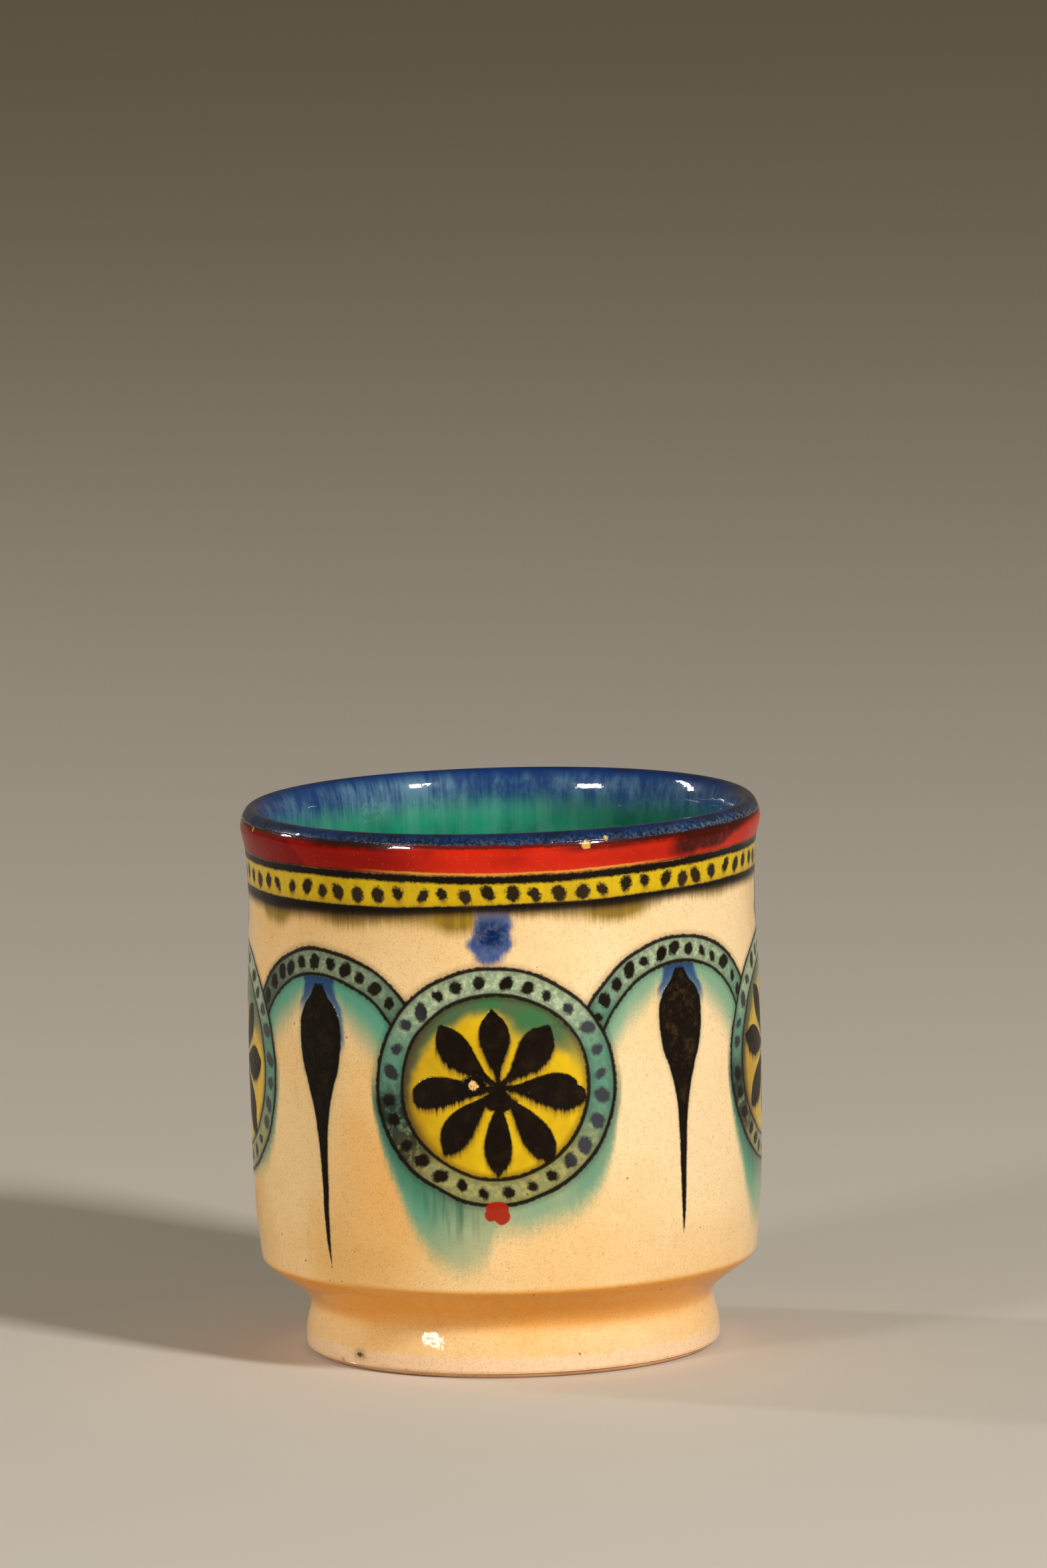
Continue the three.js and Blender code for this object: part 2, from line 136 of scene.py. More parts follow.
class Sketch:
    """Writes arithmetic and paint as the nodes of one shader tree."""

    ROWS = 14
    COLUMN_WIDTH = 190
    ROW_HEIGHT = 170
    MIX_SOCKETS = (0, 6, 7)
    MIX_RESULT = 2

    def __init__(self, tree: NodeTree) -> None:
        """Starts on an empty tree.

        Args:
            tree: The tree that the nodes go into.
        """
        self.tree = tree
        self.count = 0

    def node(self, kind: str, **settings: object) -> Node:
        """Adds a node in the next place of the layout.

        Args:
            kind: The node's type name.
            settings: The node's own settings.

        Returns:
            The new node.
        """
        made = self.tree.nodes.new(kind)
        column, row = divmod(self.count, self.ROWS)
        made.location = (column * self.COLUMN_WIDTH, -row * self.ROW_HEIGHT)
        self.count += 1
        for name, value in settings.items():
            setattr(made, name, value)
        return made

    def feed(self, socket: NodeSocket, value: object) -> None:
        """Links a field to a socket, or sets the socket to a plain value.

        Args:
            socket: The socket that takes the value.
            value: A field, a number, a colour or a vector.
        """
        if isinstance(value, Field):
            self.tree.links.new(value.socket, socket)
        else:
            socket.default_value = value

    def math(self, operation: str, *terms: Term) -> Field:
        """Adds a math node.

        Args:
            operation: The math node's operation.
            terms: The values that it takes.

        Returns:
            Its result.
        """
        made = self.node("ShaderNodeMath", operation=operation)
        for socket, term in zip(made.inputs, terms):
            self.feed(socket, term)
        return Field(self, made.outputs[0])

    def least(self, first: Term, second: Term) -> Field:
        """Gives the smaller of two values."""
        return self.math("MINIMUM", first, second)

    def most(self, first: Term, *others: Term) -> Field:
        """Gives the largest of some values.

        Args:
            first: The first value.
            *others: The other values.

        Returns:
            The largest value.
        """
        for other in others:
            first = self.math("MAXIMUM", first, other)
        return first

    def length(self, first: Term, second: Term) -> Field:
        """Gives the distance of a point from the origin of a plane."""
        return self.math("SQRT", self.math("MULTIPLY_ADD", first, first, second * second))

    def rise(self, value: Term, low: Term, high: Term) -> Field:
        """Goes smoothly from 0 to 1 between two marks, or falls if the first is the higher.

        Args:
            value: The value that is looked at.
            low: Where the result is 0.
            high: Where the result is 1.

        Returns:
            The smooth step.
        """
        made = self.node("ShaderNodeMapRange", interpolation_type="SMOOTHSTEP")
        self.feed(made.inputs["Value"], value)
        self.feed(made.inputs["From Min"], low)
        self.feed(made.inputs["From Max"], high)
        return Field(self, made.outputs["Result"])

    def window(self, value: Term, rises: tuple[Term, Term], falls: tuple[Term, Term]) -> Field:
        """Goes from 0 to 1 between two marks and back to 0 between two more."""
        return self.rise(value, *rises) * self.rise(value, *falls)

    def clamp(self, value: Term) -> Field:
        """Keeps a value between 0 and 1.

        Args:
            value: The value.

        Returns:
            The value, no less than 0 and no more than 1.
        """
        made = self.node("ShaderNodeClamp")
        self.feed(made.inputs["Value"], value)
        return Field(self, made.outputs[0])

    def vector(self, x: Term, y: Term, z: Term) -> Field:
        """Joins three values into a vector.

        Args:
            x: The first value.
            y: The second value.
            z: The third value.

        Returns:
            The vector.
        """
        made = self.node("ShaderNodeCombineXYZ")
        for socket, term in zip(made.inputs, (x, y, z)):
            self.feed(socket, term)
        return Field(self, made.outputs[0])

    def parts(self, vector: Field) -> tuple[Field, Field, Field]:
        """Splits a vector or a colour into its three values.

        Args:
            vector: The vector or the colour.

        Returns:
            The three values.
        """
        made = self.node("ShaderNodeSeparateXYZ")
        self.feed(made.inputs[0], vector)
        x, y, z = (Field(self, socket) for socket in made.outputs)
        return x, y, z

    def noise(
        self,
        place: Field,
        scale: float = 1.0,
        detail: float = 2.0,
        roughness: float = 0.5,
        gives: Noise = Noise.GREY,
    ) -> Field:
        """Adds a soft noise texture.

        Args:
            place: Where the noise is read.
            scale: How many grains there are in one unit of the place.
            detail: How many finer layers it has.
            roughness: How strong the finer layers are.
            gives: Whether it gives a value or a colour.

        Returns:
            The noise, from 0 to 1 round a half.
        """
        made = self.node("ShaderNodeTexNoise")
        self.feed(made.inputs["Vector"], place)
        made.inputs["Scale"].default_value = scale
        made.inputs["Detail"].default_value = detail
        made.inputs["Roughness"].default_value = roughness
        return Field(self, made.outputs[gives.value])

    def patches(
        self, place: Field, scale: float, low: Term, high: Term, detail: float = 3.0, roughness: float = 0.6
    ) -> Field:
        """Cuts a noise into soft patches.

        Args:
            place: Where the noise is read.
            scale: How many grains there are in one unit of the place.
            low: The noise below which there is none.
            high: The noise above which it is full.
            detail: How many finer layers the noise has.
            roughness: How strong the finer layers are.

        Returns:
            The patches, from 0 to 1.
        """
        return self.rise(self.noise(place, scale, detail, roughness), low, high)

    def cells(self, place: Field, scale: float) -> tuple[Field, Field]:
        """Scatters points.

        Args:
            place: Where the pattern is read.
            scale: How many points there are along one unit of the place.

        Returns:
            The distance to the nearest point and that point's own random colour.
        """
        made = self.node("ShaderNodeTexVoronoi")
        self.feed(made.inputs["Vector"], place)
        made.inputs["Scale"].default_value = scale
        return Field(self, made.outputs["Distance"]), Field(self, made.outputs["Color"])

    def chance(self, place: Field) -> Field:
        """Gives a random colour for each place.

        Args:
            place: The place.

        Returns:
            The colour.
        """
        made = self.node("ShaderNodeTexWhiteNoise", noise_dimensions="3D")
        self.feed(made.inputs["Vector"], place)
        return Field(self, made.outputs["Color"])

    def chart(self, value: Term, points: Sequence[Point]) -> Field:
        """Reads a smooth chart of one value over another.

        Args:
            value: The value to look up, held between the chart's ends.
            points: The chart's points from left to right, each a value and its height.

        Returns:
            The chart's height at the value.
        """
        low, high = points[0][0], points[-1][0]
        heights = [height for _, height in points]
        floor, span = min(heights), max(heights) - min(heights)
        scaled = [((place - low) / (high - low), (height - floor) / span) for place, height in points]
        made = self.node("ShaderNodeFloatCurve")
        track = made.mapping.curves[0].points
        track[0].location, track[-1].location = scaled[0], scaled[-1]
        for point in scaled[1:-1]:
            track.new(*point)
        made.mapping.update()
        self.feed(made.inputs["Value"], self.clamp((value - low) / (high - low)))
        return self.math("MULTIPLY_ADD", Field(self, made.outputs[0]), span, floor)

    def lay(self, under: Paint, over: Paint, amount: Term) -> Field:
        """Lays one colour over another.

        Args:
            under: The colour underneath.
            over: The colour laid over it.
            amount: How much of it shows.

        Returns:
            The mixed colour.
        """
        made = self.node("ShaderNodeMix", data_type="RGBA")
        for socket, value in zip((made.inputs[i] for i in self.MIX_SOCKETS), (amount, under, over)):
            self.feed(socket, value)
        return Field(self, made.outputs[self.MIX_RESULT])

    def pick(self, quarter: Field, rows: Sequence[object], name: str) -> Field:
        """Gives each quarter of the mug its own value.

        Args:
            quarter: The quarter's number.
            rows: What is known of each quarter, from 0 on.
            name: The value's name in these rows.

        Returns:
            The value of the quarter.
        """
        total: Term = 0.0
        for number, row in enumerate(rows):
            here = self.math("COMPARE", quarter, float(number), 0.5)
            total = self.math("MULTIPLY_ADD", here, getattr(row, name), total)
        return total

    def use(self, group: NodeTree, **values: object) -> Fields:
        """Places a group with its own values.

        Args:
            group: The group.
            values: The value of each input, by its name in lower case.

        Returns:
            The group's outputs, by their names in lower case.
        """
        made = self.node("ShaderNodeGroup", node_tree=group)
        for name, value in values.items():
            self.feed(made.inputs[name.capitalize()], value)
        return {socket.name.lower(): Field(self, socket) for socket in made.outputs}


Draw = Callable[[Sketch, Fields], Fields]
SOCKETS = {
    **dict.fromkeys(("position", "hoop", "solid"), "NodeSocketVector"),
    **dict.fromkeys(("colour", "under"), "NodeSocketColor"),
}


def make_group(name: str, takes: str, gives: str, draw: Draw) -> NodeTree:
    """Builds a shader node group with named inputs and outputs.

    Args:
        name: The group's name.
        takes: The names of its inputs. One that isn't in SOCKETS is a plain value.
        gives: The names of its outputs.
        draw: Draws the group's nodes from its inputs and returns its outputs.

    Returns:
        The group.
    """
    tree = bpy.data.node_groups.new(name, "ShaderNodeTree")
    for labels, side in ((takes, "INPUT"), (gives, "OUTPUT")):
        for label in labels.split():
            kind = SOCKETS.get(label, "NodeSocketFloat")
            tree.interface.new_socket(label.capitalize(), in_out=side, socket_type=kind)
    sketch = Sketch(tree)
    entry = sketch.node("NodeGroupInput")
    given = {label: Field(sketch, entry.outputs[label.capitalize()]) for label in takes.split()}
    results = draw(sketch, given)
    leave = sketch.node("NodeGroupOutput")
    for label, result in results.items():
        sketch.feed(leave.inputs[label.capitalize()], result)
    return tree


@dataclass(frozen=True)
class MugSize:
    """The mug's driving sizes in millimetres, read from the frame or measured on the photograph."""

    RIM_PLAY: ClassVar[float] = 0.2
    BAND_PROUD: ClassVar[float] = 0.12
    UNROLLED_INSET: ClassVar[float] = 0.5
    rim_height: float
    rim_radius: float
    foot_radius: float
    red_bottom: float
    floor_height: float
    boss_height: float
    lip_thickness: float = 4.6
    lip_crest: float = 2.1
    lip_height: float = 3.3
    lip_inner_height: float = 5.4
    flare_inset: float = 0.72
    waist_inset: float = 1.12
    waist_height: float = 75.5
    belly_inset: float = 0.52
    belly_height: float = 46.0
    lower_belly_inset: float = 0.84
    lower_belly_height: float = 27.0
    shoulder_inset: float = 1.86
    shoulder_height: float = 15.6
    shoulder_rounding: float = 0.7
    neck_inset: float = 9.72
    neck_height: float = 8.0
    foot_band_top: float = 3.4
    bare_height: float = 0.9
    glaze: float = 0.4
    foot_ring_width: float = 6.9
    floor_corner: float = 9.0
    seam_inset: float = 0.38
    lining_insets: tuple[float, ...] = (0.62, 0.75, 0.85, 0.95)

    @classmethod
    def from_frame(cls) -> "MugSize":
        """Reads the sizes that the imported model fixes.

        Returns:
            The mug's sizes.
        """
        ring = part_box("foot_ring")[1]
        return cls(
            rim_height=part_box("cobalt_lip")[1].z / MM - cls.RIM_PLAY,
            rim_radius=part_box("red_band")[1].x / MM - cls.BAND_PROUD,
            foot_radius=ring.x / MM + cls.glaze,
            red_bottom=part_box("red_band")[0].z / MM,
            floor_height=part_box("turquoise_lining")[0].z / MM + cls.glaze,
            boss_height=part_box("clay_body")[0].z / MM,
        )

    @property
    def reference_radius(self) -> float:
        """The radius on which the painting is unrolled."""
        return self.rim_radius - self.UNROLLED_INSET

    @property
    def degree(self) -> float:
        """How many millimetres one degree takes on the unrolled wall."""
        return DEGREE * self.reference_radius


@dataclass
class Outline:
    """A turned piece's outline, as points of radius and height in millimetres."""

    SAME: ClassVar[float] = 0.001
    points: list[Point] = field(default_factory=list)

    def line(self, radius: float, height: float, steps: int = 1) -> "Outline":
        """Goes straight to a point.

        Args:
            radius: The end's radius.
            height: The end's height.
            steps: How many stretches the line is cut into.

        Returns:
            This outline.
        """
        if not self.points:
            self.points.append((radius, height))
            return self
        x, z = self.points[-1]
        for step in range(1, steps + 1):
            share = step / steps
            self.points.append((x + (radius - x) * share, z + (height - z) * share))
        return self

    def sweep(self, centre: Point, radii: Point, turn: Point, steps: int) -> "Outline":
        """Follows part of an ellipse.

        Args:
            centre: The ellipse's centre.
            radii: Its reach across and up.
            turn: The first and last angle in degrees, 0 pointing out and 90 up.
            steps: How many stretches the arc is cut into.

        Returns:
            This outline.
        """
        for step in range(steps + 1):
            angle = math.radians(turn[0] + (turn[1] - turn[0]) * step / steps)
            point = (centre[0] + radii[0] * math.cos(angle), centre[1] + radii[1] * math.sin(angle))
            if not self.points or math.dist(point, self.points[-1]) > self.SAME:
                self.points.append(point)
        return self

    def bend(self, first: Point, second: Point, end: Point, steps: int) -> "Outline":
        """Follows a curve with two handles.

        Args:
            first: The handle of the start.
            second: The handle of the end.
            end: The end.
            steps: How many stretches the curve is cut into.

        Returns:
            This outline.
        """
        knots = (self.points[-1], first, second, end)
        for step in range(1, steps + 1):
            t = step / steps
            weights = ((1 - t) ** 3, 3 * t * (1 - t) ** 2, 3 * t**2 * (1 - t), t**3)
            self.points.append(tuple(sum(w * knot[i] for w, knot in zip(weights, knots)) for i in (0, 1)))
        return self

    def through(self, stations: Sequence[Point], steps: int) -> "Outline":
        """Runs smoothly through some stations.

        Args:
            stations: The points to pass, after the outline's last one.
            steps: How many stretches lie between two stations.

        Returns:
            This outline.
        """

        def between(a: float, b: float, c: float, d: float, t: float) -> float:
            """Goes from b to c on a curve that also knows its neighbours."""
            square, cube = 2 * a - 5 * b + 4 * c - d, 3 * b - a - 3 * c + d
            return 0.5 * (2 * b + (c - a) * t + square * t**2 + cube * t**3)

        knots = [self.points[-1], *stations]
        knots = [knots[0], *knots, knots[-1]]
        for near in zip(knots, knots[1:], knots[2:], knots[3:]):
            for step in range(1, steps + 1):
                self.points.append(tuple(between(*axis, step / steps) for axis in zip(*near)))
        return self

    def inset(self, distance: float) -> list[Point]:
        """Gives the outline moved into the wall, square to itself, in the opposite order.

        Args:
            distance: How far it moves in.

        Returns:
            The moved points, from the last to the first.
        """
        moved = []
        for i, (x, z) in enumerate(self.points):
            before = self.points[max(i - 1, 0)]
            after = self.points[min(i + 1, len(self.points) - 1)]
            run = math.dist(before, after)
            across, up = after[0] - before[0], after[1] - before[1]
            moved.append((x - distance * up / run, z + distance * across / run))
        return moved[::-1]


def vertex_places(mesh: Mesh) -> np.ndarray:
    """Gives a mesh's vertices in millimetres, as rows of x, y and z.

    Args:
        mesh: The mesh.

    Returns:
        The three rows.
    """
    places = np.empty(len(mesh.vertices) * 3)
    mesh.vertices.foreach_get("co", places)
    return (places / MM).reshape(-1, 3).T


@dataclass(frozen=True)
class HandTouch:
    """How the thrown and fired mug strays from a true round."""

    size: MugSize
    lean: float = 0.0048
    oval: float = 0.08
    three_sided: float = 0.03
    still_radius: float = 20.0
    rim_wave: float = 0.07
    foot_shift: float = 0.42
    foot_shift_top: float = 22.0
    throwing_depth: float = 0.02
    throwing_pitch: float = 6.3

    def apply(self, piece: Object) -> None:
        """Moves a piece's vertices as the hand and the kiln did.

        Args:
            piece: The piece, true round before this.
        """
        mesh = piece.data
        x, y, z = vertex_places(mesh)
        turn = np.arctan2(x, -y)
        up = np.clip(z / self.size.rim_height, 0, 1)
        radius = np.hypot(x, y)
        wall = np.clip((radius - self.still_radius) / 10, 0, 1)
        rings = np.sin(math.tau * z / self.throwing_pitch + turn + 0.6 * np.sin(2 * turn))
        swell = -self.oval * up**2 * np.cos(2 * turn) + self.three_sided * up * np.sin(3 * turn)
        grown = 1 + wall * (swell + self.throwing_depth * rings) / np.maximum(radius, 1)
        rise = self.lean * x * up**3 + self.rim_wave * up**6 * (np.sin(3 * turn + 1.2) - 1)
        low = np.clip(1 - z / self.foot_shift_top, 0, 1)
        shift = self.foot_shift * low * low * (3 - 2 * low)
        moved = np.column_stack([x * grown + shift, y * grown, z + rise]) * MM
        mesh.vertices.foreach_set("co", moved.ravel())
        mesh.update()


class Lathe:
    """Turns outlines round the mug's axis and unrolls them for the bake."""

    STEPS = 192
    DOUBLES = 1e-6
    SMOOTH_ANGLE = math.radians(38)
    UV_NAME = "OFBake"
    UV_MARGIN = 0.012
    HIDDEN_SHARE = 0.1
    SECTOR_START = 28.125

    def turn(self, name: str, points: Sequence[Point], shown: int) -> Object:
        """Turns an outline once round.

        Args:
            name: The piece's name.
            points: The outline, from the axis to the axis or closed on itself.
            shown: How many of the points lie on the side that is seen.

        Returns:
            The finished mesh object.
        """
        bpy.ops.object.select_all(action="DESELECT")
        bpy.ops.mesh.primitive_plane_add(size=MM)
        piece = bpy.context.object
        piece.name = piece.data.name = name
        bpy.ops.object.mode_set(mode="EDIT")
        bpy.ops.mesh.select_mode(type="VERT")
        bpy.ops.mesh.select_all(action="SELECT")
        bpy.ops.mesh.merge(type="CENTER")
        start = points[0]
        bpy.ops.transform.translate(value=(start[0] * MM, 0, start[1] * MM))
        for before, after in zip(points, points[1:]):
            step = ((after[0] - before[0]) * MM, 0, (after[1] - before[1]) * MM)
            bpy.ops.mesh.extrude_region_move(TRANSFORM_OT_translate={"value": step})
        bpy.ops.mesh.select_all(action="SELECT")
        bpy.ops.mesh.spin(steps=self.STEPS, angle=math.tau, center=(0, 0, 0), axis=(0, 0, 1))
        bpy.ops.mesh.select_all(action="SELECT")
        bpy.ops.mesh.remove_doubles(threshold=self.DOUBLES)
        bpy.ops.mesh.normals_make_consistent(inside=False)
        bpy.ops.object.mode_set(mode="OBJECT")
        bpy.ops.object.shade_smooth_by_angle(angle=self.SMOOTH_ANGLE)
        self.unroll(piece, points, shown)
        return piece

    def unroll(self, piece: Object, points: Sequence[Point], shown: int) -> None:
        """Lays the piece's four quarters side by side on its map.

        Args:
            piece: The turned piece.
            points: Its outline.
            shown: How many of the points lie on the side that is seen.
        """
        mesh = piece.data
        outline = np.array(points)
        runs = np.hypot(*np.diff(outline, axis=0).T)
        track = np.concatenate([[0], np.cumsum(runs)])
        seen, hidden = track[shown - 1], max(track[-1] - track[shown - 1], 1e-9)
        share = self.HIDDEN_SHARE if shown < len(points) else 0
        on_hidden = 1 - share + (track - seen) / hidden * share
        along = np.where(track <= seen, track / seen * (1 - share), on_hidden)
        x, y, z = vertex_places(mesh)
        radius = np.hypot(x, y)
        away = (radius[:, None] - outline[None, :, 0]) ** 2 + (z[:, None] - outline[None, :, 1]) ** 2
        nearest = np.argmin(away, axis=1)
        corners = np.empty(len(mesh.loops), dtype=int)
        mesh.loops.foreach_get("vertex_index", corners)
        sizes = np.empty(len(mesh.polygons), dtype=int)
        mesh.polygons.foreach_get("loop_total", sizes)
        face = np.repeat(np.arange(len(sizes)), sizes)
        middle_x = np.bincount(face, x[corners])
        middle_y = np.bincount(face, y[corners])
        centre = (np.degrees(np.arctan2(middle_x, -middle_y)) - self.SECTOR_START)[face]
        sector = np.floor(centre / 90)
        own = np.degrees(np.arctan2(x, -y))[corners] - self.SECTOR_START
        own = np.where(radius[corners] > 1e-3, own + 360 * np.round((centre - own) / 360), centre)
        last = len(points) - 1
        late = np.bincount(face, nearest[corners] > last / 2)[face] > 0
        station = np.where(late & (nearest[corners] == 0) & (shown < len(points)), last, nearest[corners])
        reach = 1 / 2 - 2 * self.UV_MARGIN
        across = sector % 2 / 2 + self.UV_MARGIN + (own / 90 - sector) * reach
        up = sector // 2 % 2 / 2 + self.UV_MARGIN + along[station] * reach
        layer = mesh.uv_layers.new(name=self.UV_NAME)
        layer.data.foreach_set("uv", np.column_stack([across, up]).ravel())


@dataclass(frozen=True)
class Quarter:
    """One medallion and how the brush strayed there."""

    turn: float
    rise: float = 0.0
    wide: float = 1.0
    spin: float = 0.0
    bleed: float = 1.0
    side: float = 1.0


@dataclass(frozen=True)
class Hanging:
    """One arch and the drop that hangs in it."""

    turn: float
    arch_height: float
    drop_top: float
    drop_tip: float
    lean: float = 0.0
    bleed: float = 1.0
    cobalt_run: float = 1.5
    # How strong the drop's painted sheen is.
    painted_sheen: float = 0.3


@dataclass(frozen=True)
class Painting:
    """The brushwork's places and sizes in millimetres and degrees, measured on the photograph."""

    medallion_height: float = 49.85
    outer_line: float = 19.75
    inner_line: float = 15.45
    line_half_width: float = 0.42
    ring_dots: int = 28
    petals: int = 8
    petal_half_width: float = 2.6
    arch_outer: float = 21.6
    arch_inner: float = 17.5
    arch_dots: int = 37
    arch_foot: float = 6.0
    drop_half_width: float = 4.75
    band_dots: int = 69
    quarters: tuple[Quarter, ...] = (
        Quarter(-2.5),
        Quarter(88.5, rise=0.3, wide=0.985, spin=3.0, bleed=0.95, side=1.0),
        Quarter(179.0, rise=-0.2, wide=1.01, spin=-2.0, bleed=0.95, side=-1.0),
        Quarter(-90.0, rise=0.1, wide=0.99, spin=1.5, bleed=0.8, side=1.0),
    )
    hangings: tuple[Hanging, ...] = (
        Hanging(43.0, arch_height=50.8, drop_top=67.3, drop_tip=23.0, painted_sheen=0.95),
        Hanging(134.0, arch_height=50.2, drop_top=66.2, drop_tip=20.4, lean=0.4, bleed=0.8, cobalt_run=3.0),
        Hanging(-135.0, arch_height=50.6, drop_top=66.6, drop_tip=21.6, lean=-0.3, bleed=0.9),
        Hanging(-45.5, arch_height=49.7, drop_top=65.6, drop_tip=18.7, lean=0.9, bleed=1.15, cobalt_run=6.0),
    )


class Colours:
    """The mug's fired colours; some are also laid as painted shade and painted sheen."""

    CREAM = paint(244, 204, 136)
    CREAM_WARM = paint(238, 174, 90)
    CREAM_PALE = paint(248, 216, 164)
    # Also laid as painted shade under the bands.
    TAN_GRAIN_AND_SHADE = paint(172, 118, 68)
    HONEY = paint(236, 158, 56)
    THIN_EDGE = paint(244, 208, 168)
    IRON = paint(58, 38, 22)
    TEAL = paint(112, 152, 120)
    TEAL_DEEP = paint(84, 142, 118)
    TEAL_PALE = paint(198, 206, 164)
    TEAL_OLIVE = paint(176, 162, 90)
    BLEED = paint(80, 154, 126)
    BLEED_DEEP = paint(44, 92, 66)
    GREEN = paint(34, 116, 60)
    SMOKE = paint(54, 66, 46)
    DISC_TEAL = paint(58, 94, 64)
    YELLOW = paint(224, 182, 4)
    YELLOW_DEEP = paint(178, 134, 0)
    BAND_YELLOW = paint(214, 180, 2)
    BLACK = paint(18, 9, 2)
    BLACK_BROWN = paint(58, 42, 22)
    WORN = paint(94, 98, 108)
    BURNT = paint(44, 14, 8)
    RUN_BROWN = paint(86, 56, 12)
    OLIVE = paint(152, 120, 0)
    COBALT = paint(8, 50, 110)
    COBALT_LIGHT = paint(54, 82, 132)
    COBALT_DEEP = paint(0, 34, 80)
    NAVY = paint(12, 28, 50)
    MIST = paint(112, 132, 142)
    MIST_BLUE = paint(104, 146, 164)
    RED = paint(204, 38, 14)
    RED_DEEP = paint(122, 2, 0)
    RED_LIGHT = paint(222, 66, 38)
    RED_BLOT = paint(160, 32, 8)
    GOLD_LINE = paint(214, 158, 62)
    TURQUOISE = paint(26, 140, 106)
    TURQUOISE_DEEP = paint(4, 84, 60)
    # Painted shade for the right-hand side of the hollow.
    TURQUOISE_PAINTED_SHADE = paint(0, 54, 40)
    TURQUOISE_PALE = paint(92, 156, 136)
    CLAY = paint(216, 170, 128)
    CLAY_DARK = paint(164, 112, 74)
    CLAY_PALE = paint(226, 190, 152)


@dataclass(frozen=True)
class BandPlace:
    """Where a point lies in the bands under the lip, in degrees and millimetres, and the brush's strays."""

    turn: Field
    hoop: Field
    solid: Field
    grain: Field
    high: Field
    foot: Field
    z: Field
    hair: Field
    weight: Field
    run: Fields


class GlazeBook:
    """The node groups that more than one of the mug's glazes uses."""

    # Charts over the turn round the mug in degrees, in millimetres or as a share.
    BAND_TOP_SHIFTS = (
        (-180, 0.1), (-120, 0), (-75, -0.05), (-40, 0.23), (0, -0.08), (20, 0.2), (40, 0.55), (75, 0.9),
        (110, 0.7), (150, 0.3), (180, 0.1),
    )
    BAND_FOOT_SHIFTS = (
        (-180, 0.2), (-120, -0.1), (-75, -0.2), (-37, -0.1), (-10, 0.4), (0, 0.6), (25, 0.9), (50, 1.25),
        (75, 1.2), (120, 0.7), (180, 0.2),
    )
    LINE_WEIGHTS = (
        (-180, 1.4), (-120, 1.6), (-75, 2), (-60, 2), (-40, 1.75), (-20, 1.3), (-5, 0.95), (5, 1.4),
        (20, 1.2), (45, 1.2), (70, 1.5), (120, 1.3), (180, 1.4),
    )
    FRINGE_DEPTHS = (
        (-180, 2.8), (-150, 3.4), (-120, 2.4), (-95, 2), (-75, 2.4), (-68, 3.4), (-62, 4.6), (-57, 4.2),
        (-53, 3), (-46, 3), (-41, 3.8), (-34, 3.8), (-29, 3), (-20, 3.1), (-14, 4.4), (-8, 4.8), (-5, 2),
        (1, 2), (12, 2.6), (19, 3.3), (26, 3.7), (32, 3.4), (38, 2.2), (43, 1.6), (50, 2.4), (58, 2.4),
        (66, 1.9), (80, 1.8), (100, 2.6), (125, 3.6), (150, 2.2), (180, 2.8),
    )
    FRINGE_OLIVE = (
        (-180, 0.5), (-150, 0.7), (-120, 0.3), (-75, 0.25), (-68, 0.7), (-62, 1), (-57, 0.85), (-53, 0.4),
        (-46, 0.3), (-40, 0.7), (-32, 0.6), (-20, 0.6), (-14, 0.8), (-8, 0.9), (-5, 0.1), (1, 0.1),
        (5, 0.45), (14, 0.45), (20, 0.7), (26, 0.95), (32, 0.75), (38, 0.3), (46, 0.2), (52, 0.45),
        (60, 0.35), (75, 0.2), (100, 0.5), (125, 0.8), (150, 0.3), (180, 0.5),
    )
    FRINGE_SMOKE = (
        (-180, 0.5), (-120, 0.5), (-75, 0.6), (-62, 0.35), (-53, 0.8), (-44, 0.8), (-39, 1.2), (-33, 1),
        (-27, 0.5), (-14, 0.2), (-4, 0.2), (4, 0.3), (14, 0.6), (24, 0.4), (34, 0.7), (42, 0.3), (52, 0.8),
        (62, 0.7), (75, 0.5), (120, 0.6), (180, 0.5),
    )

    # Heights and sizes in millimetres.
    YELLOW_FOOT = 79.3
    YELLOW_MIDDLE = 81.35
    UPPER_LINE = 84.05
    RED_FOOT = 84.65
    GOLD_LEVEL = 84.98
    DOT_REACH = 1.12
    RED_RELIEF = 0.05
    SWAY = 1.7

    def __init__(self, size: MugSize, painting: Painting) -> None:
        """Builds the groups.

        Args:
            size: The mug's sizes.
            painting: The brushwork's places and sizes.
        """
        self.size = size
        self.painting = painting
        places = "turn height radius hoop solid sway lift grain"
        self.places = make_group("mug_places", "position", places, self.draw_places)
        self.skin = make_group("glaze_skin", "solid grain", "height roughness pinhole", self.draw_skin)
        self.speckle = make_group("clay_speckle", "solid colour amount", "colour", self.draw_speckle)
        self.streaks = make_group("running_glaze", "hoop height seed", "broad fine", self.draw_streaks)
        taken = "turn height hoop solid grain under"
        self.bands = make_group("rim_bands", taken, "colour relief", self.draw_bands)

    def draw_places(self, s: Sketch, given: Fields) -> Fields:
        """Works out where a point lies on the mug, in degrees and millimetres.

        Args:
            s: The group's sketch.
            given: Its inputs.

        Returns:
            Its outputs.
        """
        x, y, z = s.parts(given["position"])
        x, y, z = x / MM, y / MM, z / MM
        radius = s.length(x, y)
        turn = s.math("ARCTAN2", x, -y) * math.degrees(1)
        round_x = x / radius * self.size.reference_radius
        round_y = y / radius * self.size.reference_radius
        solid = s.vector(x, y, z)
        sway, lift, _ = s.parts(s.noise(solid, 0.075, 1, gives=Noise.COLOUR))
        grain = s.noise(solid, 1.5, 2, 0.6) - 0.5
        return {
            "turn": turn,
            "height": z,
            "radius": radius,
            "hoop": s.vector(round_x, round_y, 0),
            "solid": solid,
            "sway": (sway - 0.5) * self.SWAY,
            "lift": (lift - 0.5) * self.SWAY,
            "grain": grain,
        }

